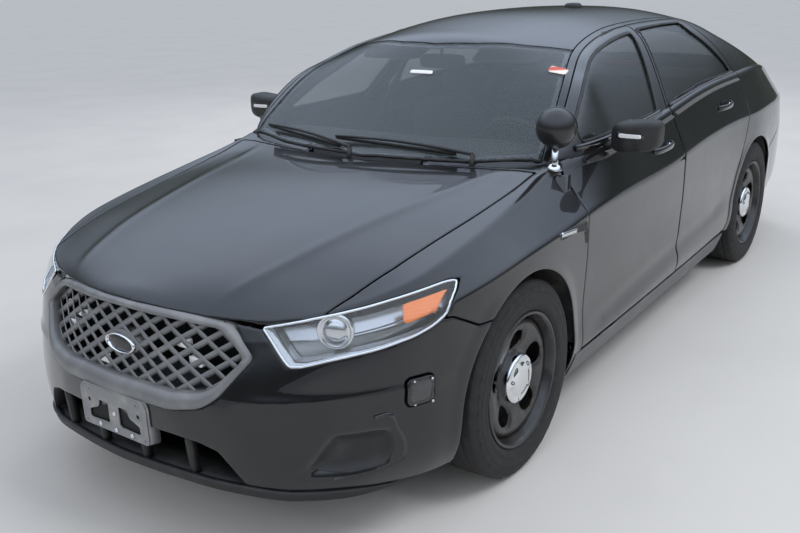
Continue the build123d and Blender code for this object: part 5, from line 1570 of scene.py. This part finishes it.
# Posts, rockers, roof lining and floor covering, seen through the glass and when a door is open
def makeInnerBody():
    box = np.array([[1, 1], [-1, 1], [-1, -1], [1, -1.0]])
    post = tube([(-64, 812, 250), (-60, 814, 700), (-56, 806, 1040), (-110, 720, 1240), (-190, 604, 1440)],
        [34, 34, 26, 20, 16], ring=box * [1.0, 0.55])
    pair("middlePost", post, "plastic", "black_plastic")
    pair("rocker", tube([(1040, 836, 232), (-840, 836, 232)], 48, ring=box * [1.0, 0.95]), "paint",
        "black_paint")
    pair("hingePost", tube([(1092, 856, 250), (1090, 858, 700), (1086, 842, 1000)], 27, ring=box), "paint",
        "black_paint")
    pillar = tube([(1070, 760, 1010), (900, 742, 1130), (700, 690, 1248), (460, 600, 1372), (100, 560, 1436),
        (-600, 552, 1440), (-1000, 580, 1390), (-1300, 620, 1300)], 22, ring=box * [1, 0.8])
    pair("innerRail", pillar, "cloth", "seat_cloth")
    field = lambda v: np.maximum(roofField(v) - 6, -1)
    panel("roofLining", greenSource, field, "cloth", "seat_cloth", thickness=4, roll=0.5, inner="cloth",
        push=-24)
    x, y = np.meshgrid(np.linspace(-860, 1000, 63), np.linspace(-775, 775, 53), indexing="ij")
    z = 264 + 52 * np.exp(-(y / 120) ** 2) + 1.5 * np.sin(x / 37) * np.sin(y / 29)
    carpet = gridMesh(np.stack([x, y, z], -1))
    if normalsOf(*carpet)[0, 2] < 0:
        carpet = carpet[0], carpet[1][:, ::-1]
    thicken(put("carpet", carpet, "cloth", "seat_cloth"), 6, 1)
    put("parcelShelf", plate([(-1150, -640), (-1150, 640), (-1560, 600), (-1700, 560), (-1700, -560),
        (-1560, -600)], 2, 1096, 1104), "cloth", "seat_cloth")
    for name, x0, x1, body, zTop in (("frontDoorTrim", 30, 960, "door_front", 1010), ("rearDoorTrim", -840,
            -130, "door_rear", 1040)):
        pair(name + "Armrest", pillow(((x0 + x1) / 2, 800, 690), ((x1 - x0) * 0.72, 60, 86), power=5,
            steps=16), "dash", "black_plastic", body)
        pair(name + "Pocket", pillow(((x0 + x1) / 2, 812, 420), ((x1 - x0) * 0.8, 40, 130), power=6,
            steps=16), "dash", "black_plastic", body)
        field = outlineField(smoothCorners([(x0, 330), (x1, 330), (x1, zTop - 20), (x0, zTop)], 40, 6), xz)
        panelPair(name, bodySource, lambda v, f=field: np.where(v[:, 1] > 700, f(v), 500), "dash",
            "black_plastic", body, thickness=30, roll=4, inner="dash", push=-84)


makeInnerBody()


# Solids of the CAD that are shown as they are, each with its finish, and the wheel liners and corner lamps
def keepParts():
    kept = {"floor_pan": "floor", "cowl_panel": "plastic", "front_subframe": "floor",
        "rear_suspension": "floor", "exhaust": "pipe", "fuel_tank": "floor", "radiator": "radiator",
        "knuckle_front_left": "iron", "knuckle_front_right": "iron"}
    for name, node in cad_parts.items():
        if name in kept:
            node.data.materials.clear()
            node.data.materials.append(finishes[kept[name]])
    liners = []
    for axle, radius, innerY, low in zip(axlePlaces, (432.0, 424.0), (488, 692), (345, 300)):
        start = math.asin((low - axleHeight) / radius)
        angle = np.linspace(start, math.pi - start, 73)
        x, z = axle + radius * np.cos(angle), axleHeight + radius * np.sin(angle)
        outer = skinAt(np.column_stack([x, np.full(73, 300.0), z]), bodySource, 1)[:, 1] - 10
        outer = np.minimum(np.convolve(np.pad(outer, 2, mode="edge"), np.ones(5) / 5, "valid"), 932)
        spoke = np.column_stack([np.cos(angle), np.sin(angle)])
        rows = []
        for share, sink in ((0, 0), (0.5, 0), (1, 0), (1, 5), (0.5, 5), (0, 5)):
            y = innerY + share * (outer - innerY)
            rows.append(np.column_stack([x - sink * spoke[:, 0], y, z - sink * spoke[:, 1]]))
        liners.append(bar(rows))
    pair("wheelLiner", merge(*liners), "liner", "black_plastic")
    corner = lambda v: cornerLampField(v) + 2.5
    panelPair("cornerLampBezel", bodySource, corner, "gloss", "corner_lens", thickness=26, roll=4, push=7)
    panelPair("cornerLampLens", bodySource, lambda v: corner(v) + 13, "lens", "corner_lens", thickness=6,
        roll=2, inner="lens", push=9)
    eye = lathe([(-4, 0), (-4, 36), (4, 36), (7, 33), (4, 29), (0, 25), (6, 14), (8, 0)], (2097, 879, 536),
        axis=(0.52, 0.85, 0.0), segments=40)
    screws = [lathe([(0, 0), (0, 5), (3, 4), (4, 0)], (2097 + 0.85 * u, 879 - 0.52 * u, 536 + w),
        axis=(0.52, 0.85, 0.0), segments=12) for u, w in ((-30, 38), (30, 38), (-30, -38), (30, -38))]
    pair("cornerLampEye", eye, "gloss", "corner_lens")
    pair("cornerLampScrews", merge(*[(v + [3.5, 5.5, 0], t) for v, t in screws]), "chrome", "corner_lens")


keepParts()


# Under the hood: engine, cover, runners, belt wheels, hoses, battery, air box, shroud and towers
def makeEngineBay():
    settings = dict(cover=(470, 520, 64), ribs=7, ribPitch=62.0, runner=24.0, hose=21.0, fanX=2214, fanZ=480,
        blades=7)
    ahead, upright = (1, 0, 0), (0, 0, 1)
    heads = [pillow((1560, y, 690), (500, 190, 170), steps=12) for y in (205, -205)]
    put("engineBlock", merge(pillow((1560, 0, 520), (520, 470, 400), power=9), *heads, pillow((1560, 0, 330),
        (420, 360, 60), 8, 10)), "iron", "black_plastic")
    cover = [pillow((1560, 0, 806), settings["cover"], power=7, steps=20)]
    for k in range(settings["ribs"]):
        y = (k - (settings["ribs"] - 1) / 2) * settings["ribPitch"]
        cover.append(tube([(1372, y, 826), (1390, y, 838), (1560, y, 840), (1730, y, 838), (1748, y, 826)],
            7, 8))
    cover.append(lathe([(-10, 0), (-10, 34), (22, 34), (26, 30), (26, 0)], (1660, 282, 792), upright, 28))
    put("engineCover", merge(*cover), "plastic", "black_plastic")
    line = [(1770, 790), (1830, 786), (1872, 740), (1884, 660), (1862, 600), (1800, 575)]
    runners = [tube([(x, y, z) for x, z in line], settings["runner"], 14) for y in (-200, -120, -40, 40, 120,
        200)]
    put("intakeRunners", merge(*runners), "iron", "black_plastic")
    wheels = []
    for x, z, size in ((1560, 420, 82), (1700, 560, 48), (1440, 610, 56)):
        profile = [(-14, 0), (-14, size), (-9, size + 3), (0, size - 4), (9, size + 3), (14, size),
            (14, size * 0.5), (6, size * 0.4), (6, 0)]
        wheels.append(lathe(profile, (x, -252, z), (0, -1, 0), 36))
    put("beltWheels", merge(*wheels), "iron", "black_plastic")
    hoses = [([(2236, 210, 640), (2150, 215, 690), (2010, 230, 730), (1900, 250, 720), (1810, 240, 690)],
        1.0, 14), ([(2236, -240, 330), (2120, -250, 350), (1960, -262, 420), (1830, -240, 470)], 1.0, 14),
        ([(2080, 430, 700), (2000, 380, 770), (1900, 300, 800), (1800, 200, 806)], 1.9, 16)]
    hoses = [tube(smoothLine(points, 30), settings["hose"] * width, sides) for points, width, sides in hoses]
    put("engineHoses", merge(*hoses), "plastic", "black_plastic")
    posts = [lathe([(-6, 0), (-6, 11), (16, 9), (18, 0)], (2040, y, 724), upright, 16) for y in (-370, -530)]
    battery = [pillow((2080, -450, 610), (190, 250, 190), 14, 12), pillow((2080, -450, 712), (180, 240, 22),
        10, 10)]
    put("battery", merge(*battery, *posts), "plastic", "black_plastic")
    trays = [pillow((2080, -450, 500), (220, 280, 30), 10, 10), pillow((2090, 430, 540), (220, 230, 24), 10,
        10)]
    legs = [[(2080, -450, 500), (2080, -470, 380), (2080, -480, 270)], [(2090, 430, 530), (2090, 450, 400),
        (2090, 460, 270)]]
    put("bayBrackets", merge(*trays, *[tube(leg, 26, 10) for leg in legs]), "floor", "black_plastic")
    ribs = [tube([(1990, y, 728), (2090, y, 742), (2190, y, 728)], 6, 8) for y in (370, 410, 450, 490)]
    put("airBox", merge(pillow((2090, 430, 640), (230, 240, 190), power=9), *ribs), "plastic",
        "black_plastic")
    shroud = [tube([(2262, -400, 706), (2262, 400, 706)], 24, ring=[[1.2, 1], [-1.2, 1], [-1.2, -1],
        [1.2, -1]])]
    shroud += [tube([(2262, y, 706), (2262, y, 300)], 18, 8) for y in (-400, 400)]
    fanX, fanZ = settings["fanX"], settings["fanZ"]
    for y in (-180, 180):
        shroud.append(lathe([(-16, 160), (-16, 172), (16, 172), (16, 160), (-16, 160)], (fanX, y, fanZ),
            ahead, 48))
        for k in range(settings["blades"]):
            a = 2 * math.pi * k / settings["blades"]
            blade = [(fanX + 4 * math.sin(2 * t), y + r * math.cos(a + 0.3 * t), fanZ
                + r * math.sin(a + 0.3 * t)) for t, r in ((0, 30), (0.5, 90), (1, 158))]
            shroud.append(tube(blade, 14, ring=[[1, 0.4], [-1, 0.1], [-1, -0.1], [1, 0.2]]))
        shroud.append(lathe([(-20, 0), (-20, 40), (12, 40), (18, 30), (20, 0)], (fanX, y, fanZ), ahead, 28))
    put("radiatorShroud", merge(*shroud), "plastic", "black_plastic")
    tower = [(-60, 0), (-60, 86), (8, 80), (14, 66), (14, 30), (24, 26), (24, 0)]
    pair("strutTowers", lathe(tower, (1545, 585, 806), upright, 40), "paint", "black_paint")


makeEngineBay()


# Hides the CAD node that each piece stands for; the table gives each piece's node
def replaceParts():
    table = dict(hoodPanel="hood", trunkLid="trunk_lid", roofPanel="roof_panel",
        windshieldGlass="windshield", rearGlass="rear_window", frontBumper="front_bumper",
        rearBumper="rear_bumper", grilleSurround="grille", plateHolder="plate_bracket",
        cornerLampBezel_left="corner_lamps", spotlampBody="spotlamp", antennaPuck="antenna",
        wiperArms="wipers", dashboardTop="dashboard", steeringWheelRim="steering_wheel",
        frontCushion_left="front_seats", rearCushion="rear_seat", sillMoulding_left="sill_mouldings",
        wheelLiner_left="wheelhouse_liners", engineBlock="engine_block")
    sided = dict(frontFender="front_fender", quarterPanel="side_frame", frontDoorSkin="door_front",
        rearDoorSkin="door_rear", frontDoorGlass="glass_front", rearDoorGlass="glass_rear",
        headlampLens="headlamp", tailLampLens="tail_lamp", handleFront="handle_front",
        handleRear="handle_rear", mirrorHousing="mirror", tyreTread_front="tyre_front",
        tyreTread_rear="tyre_rear", wheelDisc_front="rim_front", wheelDisc_rear="rim_rear")
    for name, node in sided.items():
        for side in ("left", "right"):
            table[f"{name}_{side}"] = f"{node}_{side}"
    for name, node in table.items():
        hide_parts(node)


replaceParts()
